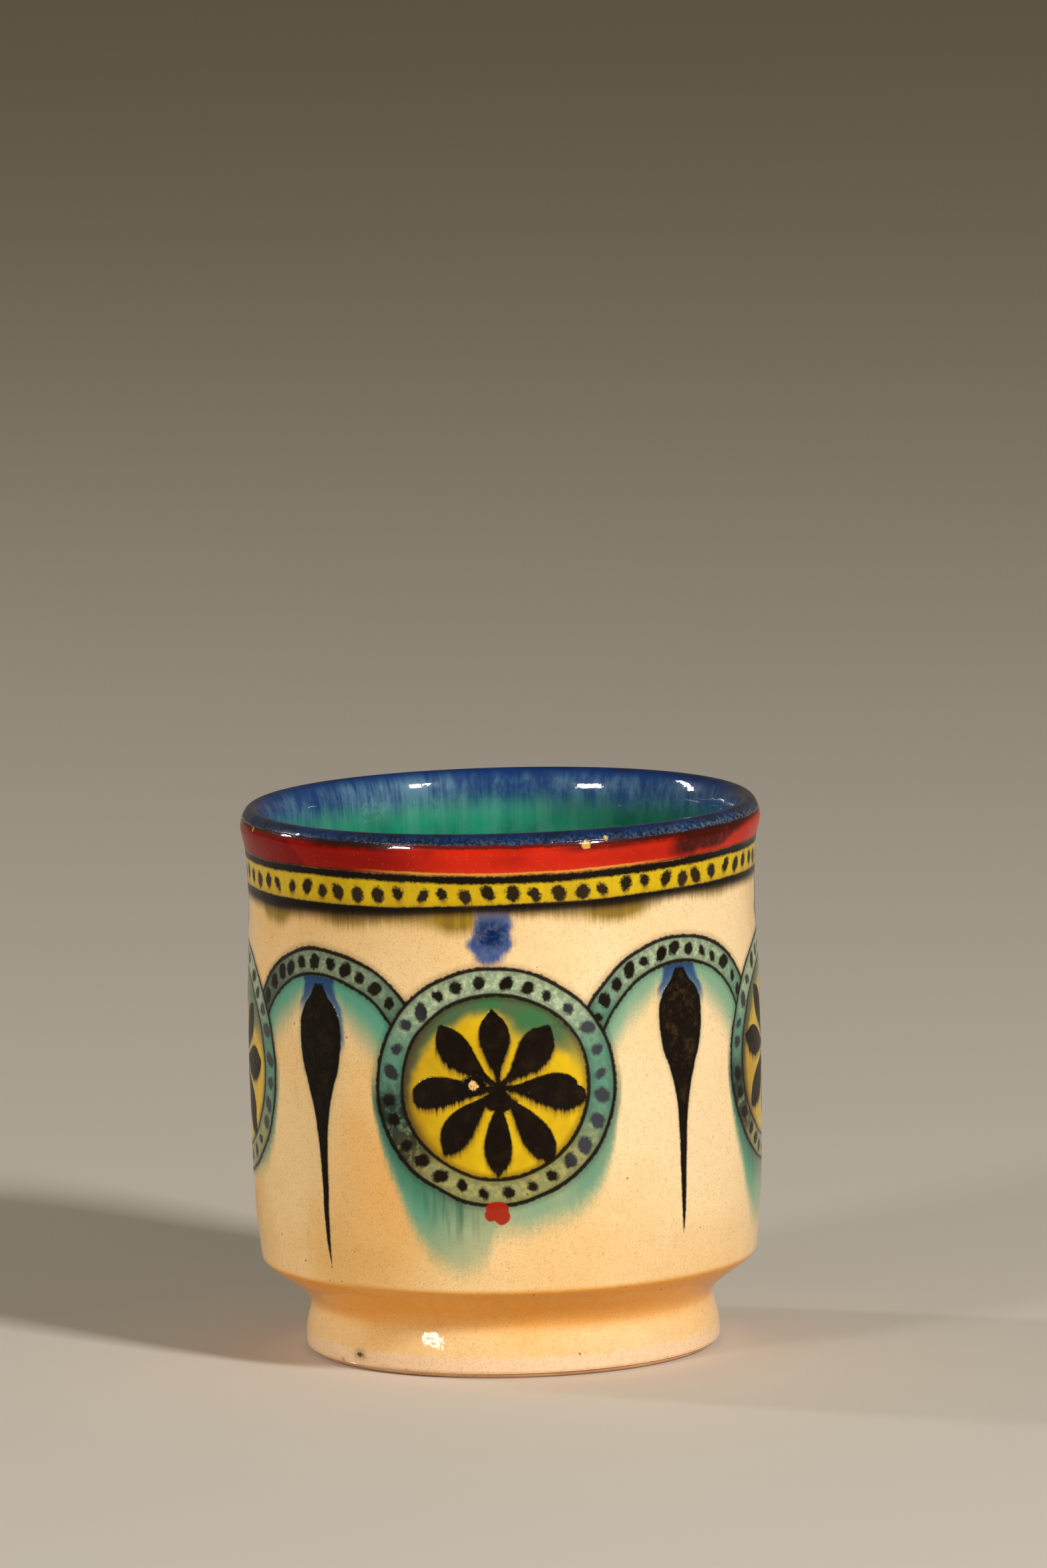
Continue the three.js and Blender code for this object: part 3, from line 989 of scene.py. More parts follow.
    def draw_skin(self, s: Sketch, given: Fields) -> Fields:
        """Gives the glaze its soft orange peel, its slow waves and a few pinholes.

        Args:
            s: The group's sketch.
            given: Its inputs.

        Returns:
            Its outputs.
        """
        solid = given["solid"]
        slow = s.noise(solid, 0.11, 1)
        peel = s.noise(solid, 0.62, 2, 0.45)
        hole, pick = s.cells(solid, 0.24)
        lucky, _, _ = s.parts(pick)
        pinhole = s.rise(hole, 0.075, 0.03) * s.rise(lucky, 0.62, 0.64)
        height = slow * 0.34 + peel * 0.028 + given["grain"] * 0.004 - pinhole * 0.08
        roughness = s.math("MULTIPLY_ADD", s.noise(solid, 0.2, 3), 0.12, 0.2)
        return {"height": height, "roughness": roughness, "pinhole": pinhole}

    def draw_speckle(self, s: Sketch, given: Fields) -> Fields:
        """Lays the clay's fine tan grain and its rare iron specks over a colour.

        Args:
            s: The group's sketch.
            given: Its inputs.

        Returns:
            Its outputs.
        """
        solid = given["solid"]
        fine = s.patches(solid, 3.2, 0.5, 0.72, roughness=0.7)
        mottled = s.patches(solid, 0.9, 0.5, 0.78, roughness=0.65)
        colour = s.lay(given["colour"], Colours.TAN_GRAIN_AND_SHADE, fine * given["amount"] * 0.46)
        colour = s.lay(colour, Colours.TAN_GRAIN_AND_SHADE, mottled * given["amount"] * 0.2)
        near, own = s.cells(solid, 0.36)
        _, large, _ = s.parts(own)
        speck = s.rise(near, 0.075 * large, 0.02 * large) * s.rise(large, 0.45, 0.6)
        return {"colour": s.lay(colour, Colours.IRON, speck * given["amount"] * 0.75)}

    def draw_streaks(self, s: Sketch, given: Fields) -> Fields:
        """Draws upright streaks where the glaze ran, broad and fine.

        Args:
            s: The group's sketch.
            given: Its inputs.

        Returns:
            Its outputs.
        """
        x, y, _ = s.parts(given["hoop"])
        level = given["height"] * 0.05 + given["seed"]
        place = s.vector(x, y, level)
        return {"broad": s.noise(place, 0.33, 2, 0.5), "fine": s.noise(place, 1.7, 3, 0.6)}

    def draw_bands(self, s: Sketch, given: Fields) -> Fields:
        """Paints the red and yellow bands, their black lines, dots and fringe.

        Args:
            s: The group's sketch.
            given: Its inputs.

        Returns:
            Its outputs.
        """
        turn, hoop, grain = (given[name] for name in ("turn", "hoop", "grain"))
        wave = (s.noise(hoop, 0.09, 2) - 0.5) * 0.3
        high = given["height"] - s.chart(turn, self.BAND_TOP_SHIFTS) - wave
        low = given["height"] - s.chart(turn, self.BAND_FOOT_SHIFTS) - wave
        b = BandPlace(
            turn=turn,
            hoop=hoop,
            solid=given["solid"],
            grain=grain,
            high=high,
            foot=self.YELLOW_FOOT - low,
            z=(high + low) * 0.5,
            hair=s.noise(hoop, 2.3, 3, 0.65) - 0.5,
            weight=s.chart(turn, self.LINE_WEIGHTS),
            run=s.use(self.streaks, hoop=hoop, height=given["height"], seed=Seed.BANDS.value),
        )
        colour = self.yellow(s, self.fringe(s, given["under"], b), b)
        red_edge = high + grain * 0.3
        red = s.rise(red_edge, self.RED_FOOT - 0.1, self.RED_FOOT + 0.1)
        colour = s.lay(colour, self.crimson(s, b), red)
        # A thin line of bare gold where the red begins.
        gold = s.rise(abs(red_edge - self.GOLD_LEVEL), 0.36, 0.12) * s.rise(abs(turn - 4), 40, 22)
        colour = s.lay(colour, Colours.GOLD_LINE, gold * 0.85)
        return {"colour": self.lines_and_dots(s, colour, b), "relief": red * self.RED_RELIEF}

    def fringe(self, s: Sketch, under: Field, b: BandPlace) -> Field:
        """Lets the lower line run down, dark at the top and olive at its end.

        Args:
            s: The group's sketch.
            under: The colour underneath.
            b: The place in the bands.

        Returns:
            The colour.
        """
        begins = s.rise(b.foot, -0.15, 0.2)
        reach = s.chart(b.turn, self.FRINGE_DEPTHS) + b.hair * 2.6 + (b.run["broad"] - 0.5) * 1.4
        haze = s.rise(b.foot, reach + 1.3, reach * 0.6) * begins * s.chart(b.turn, self.FRINGE_OLIVE)
        tint = s.patches(b.hoop, 0.5, 0.36, 0.62) * 0.4
        tint = tint + s.rise(b.foot, b.weight * 0.7, b.weight + 1) * 0.6
        tint = s.lay(Colours.RUN_BROWN, Colours.OLIVE, tint)
        colour = s.lay(under, tint, s.clamp(haze * 1.3) * 0.96)
        end = b.weight + 0.2 + (reach - b.weight) * 0.5 * s.chart(b.turn, self.FRINGE_SMOKE) + b.hair * 1.8
        smoke = s.rise(b.foot, end + 1.1, b.weight * 0.7) * begins
        tone = s.lay(Colours.BLACK, Colours.RUN_BROWN, s.rise(b.foot, b.weight * 0.8, end + 0.4) * 0.9)
        return s.lay(colour, tone, smoke * 0.88)

    def yellow(self, s: Sketch, colour: Field, b: BandPlace) -> Field:
        """Paints the yellow between the lines, a little uneven where the brush overlapped.

        Args:
            s: The group's sketch.
            colour: The colour underneath.
            b: The place in the bands.

        Returns:
            The colour.
        """
        tone = s.patches(b.hoop, 0.2, 0.35, 0.7)
        yellow = s.lay(Colours.BAND_YELLOW, Colours.YELLOW_DEEP, tone * 0.45)
        mottle = s.patches(b.solid, 1.3, 0.42, 0.7, roughness=0.65) * 0.3
        yellow = s.lay(yellow, Colours.YELLOW_DEEP, s.clamp(s.rise(b.z, 80.8, 79.4) * 0.35 + mottle))
        body = s.rise(b.foot, 0.2, -0.1) * s.rise(b.high, self.RED_FOOT + 0.05, self.RED_FOOT - 0.15)
        return s.lay(colour, yellow, body)

    def crimson(self, s: Sketch, b: BandPlace) -> Field:
        """Mixes the red, deep at the left and burnt in places.

        Args:
            s: The group's sketch.
            b: The place in the bands.

        Returns:
            The colour.
        """
        panel = s.rise(abs(b.turn + 84 + (b.high - 87) * 1.4), 34, 32)
        shade = s.window(b.turn, (-8, -30), (-140, -110)) * 0.82
        drift = s.patches(b.solid, 0.09, 0.46, 0.68, detail=2, roughness=0.5) * 0.5
        right_side = s.window(b.turn, (10, 34), (120, 70)) * 0.3
        deep = s.most(drift, panel, shade, right_side)
        crimson = s.lay(Colours.RED, Colours.RED_DEEP, deep * 0.98)
        light = s.patches(b.solid, 1.1, 0.5, 0.8, detail=4, roughness=0.7) * (1 - deep) * 0.4
        crimson = s.lay(crimson, Colours.RED_LIGHT, light)
        pale = s.rise(b.high, 86.4, 85) * s.rise(b.run["fine"], 0.3, 0.7) * (1 - deep) * 0.4
        crimson = s.lay(crimson, Colours.RED_LIGHT, pale)
        spark, _ = s.cells(b.solid, 0.9)
        crimson = s.lay(crimson, Colours.GOLD_LINE, s.rise(spark, 0.1, 0.04) * 0.45)
        ragged = (b.run["broad"] - 0.5) * 2 + b.hair * 1.4
        left_burn = s.rise(abs(b.turn + 36), 14, 7) * s.rise(b.high + ragged * 0.5, 88, 89)
        lifted = b.high + ragged * 0.7 - s.rise(b.turn, 52, 72) * 2.6
        right_burn = s.window(b.turn, (38, 44), (79, 69)) * s.rise(lifted, 84.6, 86)
        edge_burn = s.window(b.turn, (8, 20), (88, 70))
        edge_burn = edge_burn * s.rise(b.high + ragged * 0.4, 87.6, 88.7)
        far_burn = s.patches(b.hoop, 0.06, 0.5, 0.64, detail=1, roughness=0.5)
        far_burn = far_burn * s.rise(b.high + ragged, 87.2, 88.8) * s.rise(abs(b.turn), 78, 96)
        patchy = 0.6 + s.patches(b.solid, 0.6, 0.26, 0.48, detail=4, roughness=0.65) * 0.4
        burn = s.most(left_burn, s.most(right_burn, far_burn, edge_burn * 0.8) * patchy)
        return s.lay(crimson, Colours.BURNT, burn * 0.93)

    def lines_and_dots(self, s: Sketch, colour: Field, b: BandPlace) -> Field:
        """Paints the two black lines and the dots between them.

        Args:
            s: The group's sketch.
            colour: The colour underneath.
            b: The place in the bands.

        Returns:
            The colour.
        """
        thick = s.noise(b.hoop, 0.1, 2) - 0.5
        beside = abs(b.high + b.grain * 0.6 - self.UPPER_LINE)
        upper = s.rise(beside, 0.98 + thick * 0.5, 0.42 + thick * 0.5)
        sole = b.weight * 0.86 + b.hair * 0.6
        lower = s.window(b.foot - b.grain * 0.5, (-0.3, 0.2), (sole + 0.5, sole - 0.7))
        # The dots along the middle of the yellow.
        pitch = 360 / self.painting.band_dots
        cell = b.turn / pitch
        number = s.math("FLOOR", cell)
        h1, h2, h3 = s.parts(s.chance(s.vector(number, Seed.BAND_DOTS.value, 1)))
        spacing = math.radians(pitch) * self.size.reference_radius
        across = (cell - number - 0.5 + (h1 - 0.5) * 0.3) * spacing
        up = b.z - self.YELLOW_MIDDLE + (h2 - 0.5) * 0.8
        tilted = across + up * (h1 - 0.5) * 0.8
        reach = self.DOT_REACH + (h3 - 0.5) * 0.36
        dot = s.length(tilted, up * 0.9) + b.grain * 1.2
        dots = s.rise(dot, reach + 0.3, reach - 0.3) * (0.985 + h2 * 0.02)
        tail = s.rise(abs(tilted + b.hair), 1, 0.1) * s.rise(-up, 2.4, 0.9) * s.rise(-up, 0.2, 0.9)
        colour = s.lay(colour, Colours.RUN_BROWN, tail * 0.6)
        ink = s.lay(Colours.BLACK, Colours.BLACK_BROWN, h2 * s.rise(abs(up), 1.9, 1.5) * 0.7)
        return s.lay(colour, ink, s.clamp(s.most(upper, lower, dots)))


class Finish:
    """A glossy fired finish with its own colours."""

    COAT = 0.4
    COAT_ROUGHNESS = 0.035
    GLAZE_IOR = 1.5
    BODY_GLOSS = 0.05

    def __init__(self, name: str, book: GlazeBook) -> None:
        """Starts the material and its sketch.

        Args:
            name: The material's name.
            book: The shared groups.
        """
        self.book = book
        self.material = bpy.data.materials.new(name)
        self.material.use_nodes = True
        self.material.node_tree.nodes.clear()
        self.sketch = Sketch(self.material.node_tree)
        place = self.sketch.node("ShaderNodeTexCoord")
        position = Field(self.sketch, place.outputs["Object"])
        self.at = self.sketch.use(book.places, position=position)

    def streaks(self, seed: Seed) -> Fields:
        """Gives the running glaze's streaks."""
        hoop, height = self.at["hoop"], self.at["height"]
        return self.sketch.use(self.book.streaks, hoop=hoop, height=height, seed=seed.value)

    def bands(self, under: Paint) -> Fields:
        """Paints the bands over a colour."""
        names = ("turn", "height", "hoop", "solid", "grain")
        return self.sketch.use(self.book.bands, under=under, **{name: self.at[name] for name in names})

    def skin(self) -> Fields:
        """Gives the glaze's uneven surface."""
        return self.sketch.use(self.book.skin, solid=self.at["solid"], grain=self.at["grain"])

    def speckled(self, colour: Paint, amount: float) -> Field:
        """Lays the clay's grain over a colour."""
        grained = self.sketch.use(self.book.speckle, solid=self.at["solid"], colour=colour, amount=amount)
        return grained["colour"]

    def close(self, colour: Paint, roughness: Term, height: Term, coat: Term) -> Material:
        """Joins the colour, roughness and relief into the shader.

        Args:
            colour: The surface colour.
            roughness: The roughness under the clear coat.
            height: The relief in millimetres.
            coat: The weight of the clear coat.

        Returns:
            The material.
        """
        s = self.sketch
        bump = s.node("ShaderNodeBump")
        bump.inputs["Strength"].default_value = 1.0
        bump.inputs["Distance"].default_value = MM
        s.feed(bump.inputs["Height"], height)
        shader = s.node("ShaderNodeBsdfPrincipled")
        s.feed(shader.inputs["Base Color"], colour)
        s.feed(shader.inputs["Roughness"], roughness)
        shader.inputs["IOR"].default_value = self.GLAZE_IOR
        shader.inputs["Specular IOR Level"].default_value = self.BODY_GLOSS
        s.feed(shader.inputs["Coat Weight"], coat)
        shader.inputs["Coat Roughness"].default_value = self.COAT_ROUGHNESS
        s.tree.links.new(bump.outputs["Normal"], shader.inputs["Normal"])
        s.tree.links.new(bump.outputs["Normal"], shader.inputs["Coat Normal"])
        output = s.node("ShaderNodeOutputMaterial")
        s.tree.links.new(shader.outputs["BSDF"], output.inputs["Surface"])
        return self.material


@dataclass(frozen=True)
class MedallionPlace:
    """Where a point lies on the nearest medallion, in millimetres from its middle."""

    own: Callable[[str], Field]
    quarter: Field
    side: Field
    across: Field
    up: Field
    u: Field
    v: Field
    radius: Field
    slope: Field
    aside: Field
    inside: Field
    petal_x: Field
    petal_y: Field


class PaintedCream(Finish):
    """The cream outside with its medallions, arches, drops and bands."""

    # Weights of the clear coat, then places in degrees round the mug and in millimetres.
    COAT, COAT_ON_BLACK = 0.42, 0.3
    STAIN_LEFT, STAIN_HEIGHT, STAIN_REACH = 31.0, 33.0, 17.0
    FOOT_SPOT_LEFT, FOOT_SPOT_HEIGHT = 47.0, 2.6
    BLOT_HEIGHT = 75.0
    PETALS_RIGHT = 0.75
    BLISTER_LEFT, BLISTER_RISE = 4.1, 0.3
    FAR = 9.0

    # Charts: the petals' over the turn round the rosette or the share of their length, the drop's width over
    # the share of its length, and the rest over millimetres beside or above the motif's middle.
    PETAL_TURNS = (
        (0, 5.5), (0.117, 2.8), (0.263, -4.8), (0.393, -6.3), (0.514, -5.1), (0.617, 2.8), (0.746, 1.5),
        (0.853, 7.9), (0.985, 5.5), (1, 5.5),
    )
    PETAL_LENGTHS = (
        (0, 13.5), (0.125, 13), (0.25, 13.1), (0.375, 14.2), (0.5, 14.6), (0.625, 14.6), (0.75, 14.8),
        (0.875, 15.4), (1, 13.5),
    )
    PETAL_WIDTHS = (
        (0, 0.3), (0.1, 0.17), (0.2, 0.22), (0.35, 0.5), (0.5, 0.8), (0.67, 1), (0.8, 0.86), (0.9, 0.48),
        (0.96, 0.18), (1, 0),
    )
    BLUNT_WIDTHS = (
        (0, 0.3), (0.1, 0.18), (0.2, 0.26), (0.35, 0.56), (0.5, 0.82), (0.67, 0.98), (0.8, 0.92),
        (0.9, 0.72), (0.97, 0.42), (1, 0.22),
    )
    PETAL_BLUNTNESS = (
        (0, 1), (0.125, 0.4), (0.25, 0), (0.375, 0.5), (0.5, 0.95), (0.625, 0.45), (0.75, 0), (0.875, 0.45),
        (1, 1),
    )
    PETAL_TIP_TURNS = (
        (0, 0), (0.125, 6.6), (0.25, 0), (0.375, -7.8), (0.5, -1.2), (0.625, 8.4), (0.75, 0), (0.875, -1.8),
        (1, 0),
    )
    DROP_WIDTHS = (
        (0, 0.2), (0.04, 0.42), (0.1, 0.86), (0.16, 1), (0.26, 0.92), (0.36, 0.62), (0.46, 0.35),
        (0.56, 0.22), (0.75, 0.14), (0.92, 0.08), (1, 0),
    )
    BLEED_DEPTHS = (
        (-24, 0), (-22.5, 0), (-20.8, 6), (-19.2, 12.5), (-16.4, 19.4), (-14.2, 25), (-12, 28.4), (-9, 31),
        (-6, 31.9), (-3, 31.2), (-1.2, 28.6), (0.2, 26), (5.6, 25.2), (9.2, 24), (12.8, 23), (14.9, 21.6),
        (17.4, 18.4), (19.6, 13), (21.2, 5), (22.6, 0), (24, 0),
    )
    BLEED_STRENGTHS = (
        (-24, 0.6), (-20, 0.92), (-15, 0.97), (-12, 0.94), (-9, 0.84), (-6, 0.74), (-3, 0.64), (0, 0.64),
        (4, 0.72), (8, 0.76), (12, 0.76), (16, 0.84), (19, 0.8), (21, 0.5), (24, 0.3),
    )
    BLOT_WIDTHS = (
        (69.5, 0.7), (70.4, 1.6), (71.5, 2.3), (72.5, 3.3), (73.5, 3.9), (74.5, 3.5), (75.6, 3.1),
        (77.5, 3.1), (80, 3.1),
    )
    ARCH_BLEED_DEPTHS = (
        (-20, 16), (-17.6, 16), (-15.5, 10), (-12.5, 8), (-8, 7.2), (-5, 5), (0, 4.4), (5, 6.4), (8, 8.6),
        (12, 10.6), (15.5, 13.5), (17.6, 20), (20, 20),
    )

    def build(self) -> Material:
        """Paints the whole outside.

        Returns:
            The material.
        """
        s, at = self.sketch, self.at
        run = self.streaks(Seed.OUTSIDE)
        colour = self.ground(run)
        colour, drops = self.arches(colour, run)
        colour, petals, dent = self.medallions(colour, run)
        bands = self.bands(colour)
        black = s.most(drops, petals)
        skin = self.skin()
        crinkle = s.noise(at["solid"], 1.25, 2, 0.55) * black * 0.12
        height = skin["height"] + crinkle + bands["relief"] + dent
        colour = s.lay(bands["colour"], Colours.IRON, skin["pinhole"] * 0.6)
        _, light, _ = s.parts(colour)
        coat = self.COAT - s.rise(light, 0.06, 0.01) * self.COAT_ON_BLACK
        return self.close(colour, skin["roughness"] + black * 0.14, height, coat)

    def ground(self, run: Fields) -> Field:
        """Colours the cream with its warm clouds and painted shade, the honey under the shoulder and the
        foot.

        Args:
            run: The running glaze's streaks.

        Returns:
            The colour.
        """
        s, at = self.sketch, self.at
        z = at["height"]
        cloud = s.patches(at["solid"], 0.035, 0.4, 0.68, roughness=0.55)
        left = s.rise(s.math("SINE", (at["turn"] - 46) * DEGREE), -0.2, -1)
        left = left * s.rise(z, 78, 48)
        # Painted shade: the cream turns darker and warmer towards the top middle, under the bands.
        high = s.rise(z, 60, 80) * s.rise(at["turn"], 30, -14) * 0.75
        colour = s.lay(Colours.CREAM_PALE, Colours.CREAM, s.clamp(left * 0.7 + cloud * 0.4 + high))
        colour = s.lay(colour, Colours.CREAM_WARM, s.clamp(cloud * 0.2 + left * cloud * 0.3 + high * 0.2))
        colour = s.lay(colour, Colours.TAN_GRAIN_AND_SHADE, high * 0.13)
        stain_across = (at["turn"] + self.STAIN_LEFT) / self.STAIN_REACH + at["sway"] * 0.2
        stain = s.length(stain_across, (z - self.STAIN_HEIGHT) / self.STAIN_REACH + at["lift"] * 0.2)
        colour = s.lay(colour, Colours.CREAM_WARM, s.rise(stain, 1.25, 0.1) * 0.7)
        low = s.rise(z + (run["broad"] - 0.5) * 7, 28, 15.6) * 0.18
        colour = s.lay(colour, Colours.CREAM_WARM, low)
        # The honey is glaze pooled in the undercut; its deepening towards the shoulder's underside is
        # painted shade.
        throat = s.window(z, (6.4, 9.4), (16.3, 15.2))
        pool = throat * (0.8 + run["broad"] * 0.4) * (0.75 + s.rise(z, 9, 13) * 0.25)
        colour = s.lay(colour, Colours.HONEY, s.clamp(pool))
        edge = s.rise(z + (run["broad"] - 0.5) * 2.4 + (run["fine"] - 0.5) * 0.8, 4, 3)
        colour = s.lay(colour, Colours.THIN_EDGE, edge * 0.85)
        lump, _ = s.cells(at["solid"], 0.3)
        colour = s.lay(colour, Colours.CLAY_DARK, s.rise(lump, 0.22, 0.12) * s.rise(z, 1.9, 1.3) * 0.5)
        speckled = self.speckled(colour, 1)
        spot_across = (at["turn"] + self.FOOT_SPOT_LEFT) * (DEGREE * self.book.size.foot_radius)
        spot = s.length(spot_across * 0.8, (z - self.FOOT_SPOT_HEIGHT) * 1.3) + at["grain"] * 1
        on_foot = s.rise(z, 8, 6)
        speckled = s.lay(speckled, Colours.OLIVE, s.rise(spot, 2, 0.5) * 0.5 * on_foot)
        return s.lay(speckled, Colours.BLACK, s.rise(spot, 0.8, 0.35) * 0.85 * on_foot)

    def dotted(self, angle: Field, across: Field, radius: float, dots: int, seed: Term) -> Field:
        """Paints a ring of dots.

        Args:
            angle: The angle round the ring in turns.
            across: How far the point lies outside the ring's middle.
            radius: The ring's radius.
            dots: How many dots go once round.
            seed: What sets this ring's strays apart.

        Returns:
            The dots' mask.
        """
        s, grain = self.sketch, self.at["grain"]
        cell = angle * float(dots)
        number = s.math("FLOOR", cell)
        h1, h2, h3 = s.parts(s.chance(s.vector(number, seed, 2)))
        along = (cell - number - 0.5 + (h1 - 0.5) * 0.3) * (math.tau * radius / dots)
        out = across + (h2 - 0.5) * 0.6
        distance = s.length(along + out * (h3 - 0.5) * 0.7, out * 0.94) + grain * 1
        reach = 1.05 + (h3 - 0.5) * 0.46
        return s.rise(distance, reach + 0.34, reach - 0.3) * (0.975 + h1 * 0.03)

    def band_fill(self, up: Field, side: Field, tone: Field) -> Field:
        """Colours a teal band, pale above and below and deeper at the sides.

        Args:
            up: How far up the band's place lies, from -1 to 1.
            side: How far to the side, from -1 to 1.
            tone: A slow noise.

        Returns:
            The colour.
        """
        s = self.sketch
        grainy = s.patches(self.at["solid"], 1.2, 0.36, 0.7, roughness=0.65)
        deep = s.clamp(s.rise(abs(side), 0.4, 1) * 0.6 + tone * 0.4)
        fill = s.lay(Colours.TEAL, Colours.TEAL_DEEP, deep)
        fill = s.lay(fill, Colours.TEAL_PALE, s.rise(up, 0.25, 0.8) * (0.5 + grainy * 0.4))
        fill = s.lay(fill, Colours.TEAL_OLIVE, s.rise(-up, 0.15, 0.75) * (0.65 + grainy * 0.35))
        return s.lay(fill, Colours.SMOKE, (1 - grainy) * 0.3)

    def arches(self, colour: Field, run: Fields) -> tuple[Field, Field]:
        """Paints the arches, their bleeds and the hanging drops with their painted sheen.

        Args:
            colour: The colour underneath.
            run: The running glaze's streaks.

        Returns:
            The colour and the drops' mask.
        """
        s, at, p = self.sketch, self.at, self.book.painting
        quarter = s.math("WRAP", s.math("FLOOR", at["turn"] / 90), 4, 0)
        own = partial(s.pick, quarter, p.hangings)
        centre, level, bleed = map(own, ("turn", "arch_height", "bleed"))
        across = (at["turn"] - centre) * self.book.size.degree
        u = across + at["sway"]
        up = at["height"] - level
        v = up + at["lift"]
        radius = s.length(u, v)
        above = s.rise(v, p.arch_foot, p.arch_foot + 0.4)
        # Teal that ran down inside the arch.
        depth = s.chart(across, self.ARCH_BLEED_DEPTHS) * bleed
        roof = s.math("SQRT", s.most(p.arch_inner**2 - u * u, 0))
        below = roof - v
        wet = (run["fine"] - 0.5) * 4 + (run["broad"] - 0.5) * 3
        bled = s.rise(below + wet * 0.5, depth + 1.4, depth * 0.2)
        inside = s.rise(radius, p.arch_inner + 0.3, p.arch_inner - 0.1)
        bled = bled * inside * s.rise(v, -9, 2)
        colour = s.lay(colour, Colours.BLEED, bled * s.clamp(bleed * 0.85))
        # Cobalt round the top of the drop, then the drop with brown patches as a painted sheen.
        top, tip, lean = map(own, ("drop_top", "drop_tip", "lean"))
        share = (top - at["height"]) / (top - tip)
        middle = across - lean * (share - 0.3) + at["sway"] * 0.35
        fall = top - at["height"]
        half = s.chart(share, self.DROP_WIDTHS) * p.drop_half_width
        edge = abs(middle) - half + at["grain"] * 0.3
        loose = s.most(2.3 - fall * 0.3, 0.45)
        run_down = 4.2 + s.rise(middle, -0.6, 0.6) * own("cobalt_run")
        halo = s.rise(edge + wet * 0.12, loose + 0.7, loose - 0.3)
        halo = halo * s.rise(fall + wet * 0.25, run_down + 1.6, run_down - 1.8)
        halo = halo * s.rise(radius, p.arch_inner, p.arch_inner - 0.5)
        cobalt = s.lay(Colours.COBALT_LIGHT, Colours.COBALT, s.rise(fall, 5, 0.5))
        colour = s.lay(colour, cobalt, halo * 0.9)
        drop = s.rise(edge, 0.2, -0.2) * s.rise(share, -0.006, 0.004) * s.rise(share, 1.002, 0.99)
        shade = s.rise(edge, 1.1, 0) * s.rise(share, 0, 0.05) * s.rise(share, 0.8, 0.3)
        colour = s.lay(colour, Colours.TEAL_DEEP, shade * 0.3)
        # Painted sheen: brown patches on the drop stand in for light broken on its crinkled glaze.
        painted_sheen = s.patches(at["solid"], 0.42, 0.48, 0.62, detail=5, roughness=0.75)
        painted_sheen = painted_sheen * s.rise(edge, -0.3, -1.8) * 0.8 * own("painted_sheen")
        colour = s.lay(colour, s.lay(Colours.BLACK, Colours.BLACK_BROWN, painted_sheen), drop)
        # The band itself.
        angle = s.math("ARCTAN2", v, u)
        ring = self.ring(radius, p.arch_outer, p.arch_inner) * above
        tone = s.patches(at["solid"], 0.25, 0.4, 0.65, detail=2, roughness=0.5)
        fill = self.band_fill(v / radius - 0.25, u / radius, tone)
        shadow = s.rise(-u / radius, 0.1, 0.75) * 0.5 + 0.34
        fill = s.lay(fill, Colours.SMOKE, s.rise(bleed, 0.95, 1.15) * shadow)
        colour = s.lay(colour, fill, ring)
        middle = (p.arch_outer + p.arch_inner) / 2
        seed = quarter + Seed.ARCH_DOTS.value
        dots = self.dotted(angle / math.tau, radius - middle, middle, p.arch_dots, seed)
        lines = self.lines(radius, p.arch_outer, p.arch_inner)
        black = s.clamp(s.most(lines, dots * ring)) * above
        return s.lay(colour, Colours.BLACK, black), drop

    def ring(self, radius: Field, outer: float, inner: float) -> Field:
        """Gives the mask of a ring between two radii."""
        s, soft = self.sketch, 0.1
        return s.window(radius, (outer + soft, outer - soft), (inner - soft, inner + soft))

    def lines(self, radius: Field, outer: float, inner: float) -> Field:
        """Draws the two outlines of a band.

        Args:
            radius: The distance from the band's centre.
            outer: The outer line's radius.
            inner: The inner line's radius.

        Returns:
            The lines' mask.
        """
        s, at = self.sketch, self.at
        half = self.book.painting.line_half_width + at["sway"] * 0.12
        rough = at["grain"] * 0.3
        outside = abs(radius - outer + rough)
        inside = abs(radius - inner - rough) + 0.04
        near = s.least(outside, inside) + at["grain"] * 0.25
        return s.most(s.rise(near, half + 0.24, half - 0.26) * 0.985, s.rise(near, half + 1.1, half) * 0.3)

    def medallion_place(self) -> MedallionPlace:
        """Works out where a point lies on the nearest medallion.

        Returns:
            The place.
        """
        s, at, p = self.sketch, self.at, self.book.painting
        first = p.quarters[0].turn
        quarter = s.math("WRAP", s.math("FLOOR", (at["turn"] - first + 45) / 90), 4, 0)
        own = partial(s.pick, quarter, p.quarters)
        turned = at["turn"] - own("turn")
        turned = turned - 360 * s.math("ROUND", turned / 360)
        side = own("side")
        across = turned * self.book.size.degree * own("wide")
        up = at["height"] - p.medallion_height - own("rise")
        u, v = across + at["sway"] * 0.8, up + at["lift"] * 0.8
        radius = s.length(u / 1.02, v / 0.985)
        return MedallionPlace(
            own=own,
            quarter=quarter,
            side=side,
            across=across,
            up=up,
            u=u,
            v=v,
            radius=radius,
            slope=v / s.most(radius, 0.1),
            aside=u / s.most(radius, 0.1) * side,
            inside=s.rise(radius, p.inner_line + 0.1, p.inner_line - 0.2),
            petal_x=across + at["sway"] * 0.4 - self.PETALS_RIGHT,
            petal_y=up + at["lift"] * 0.4,
        )

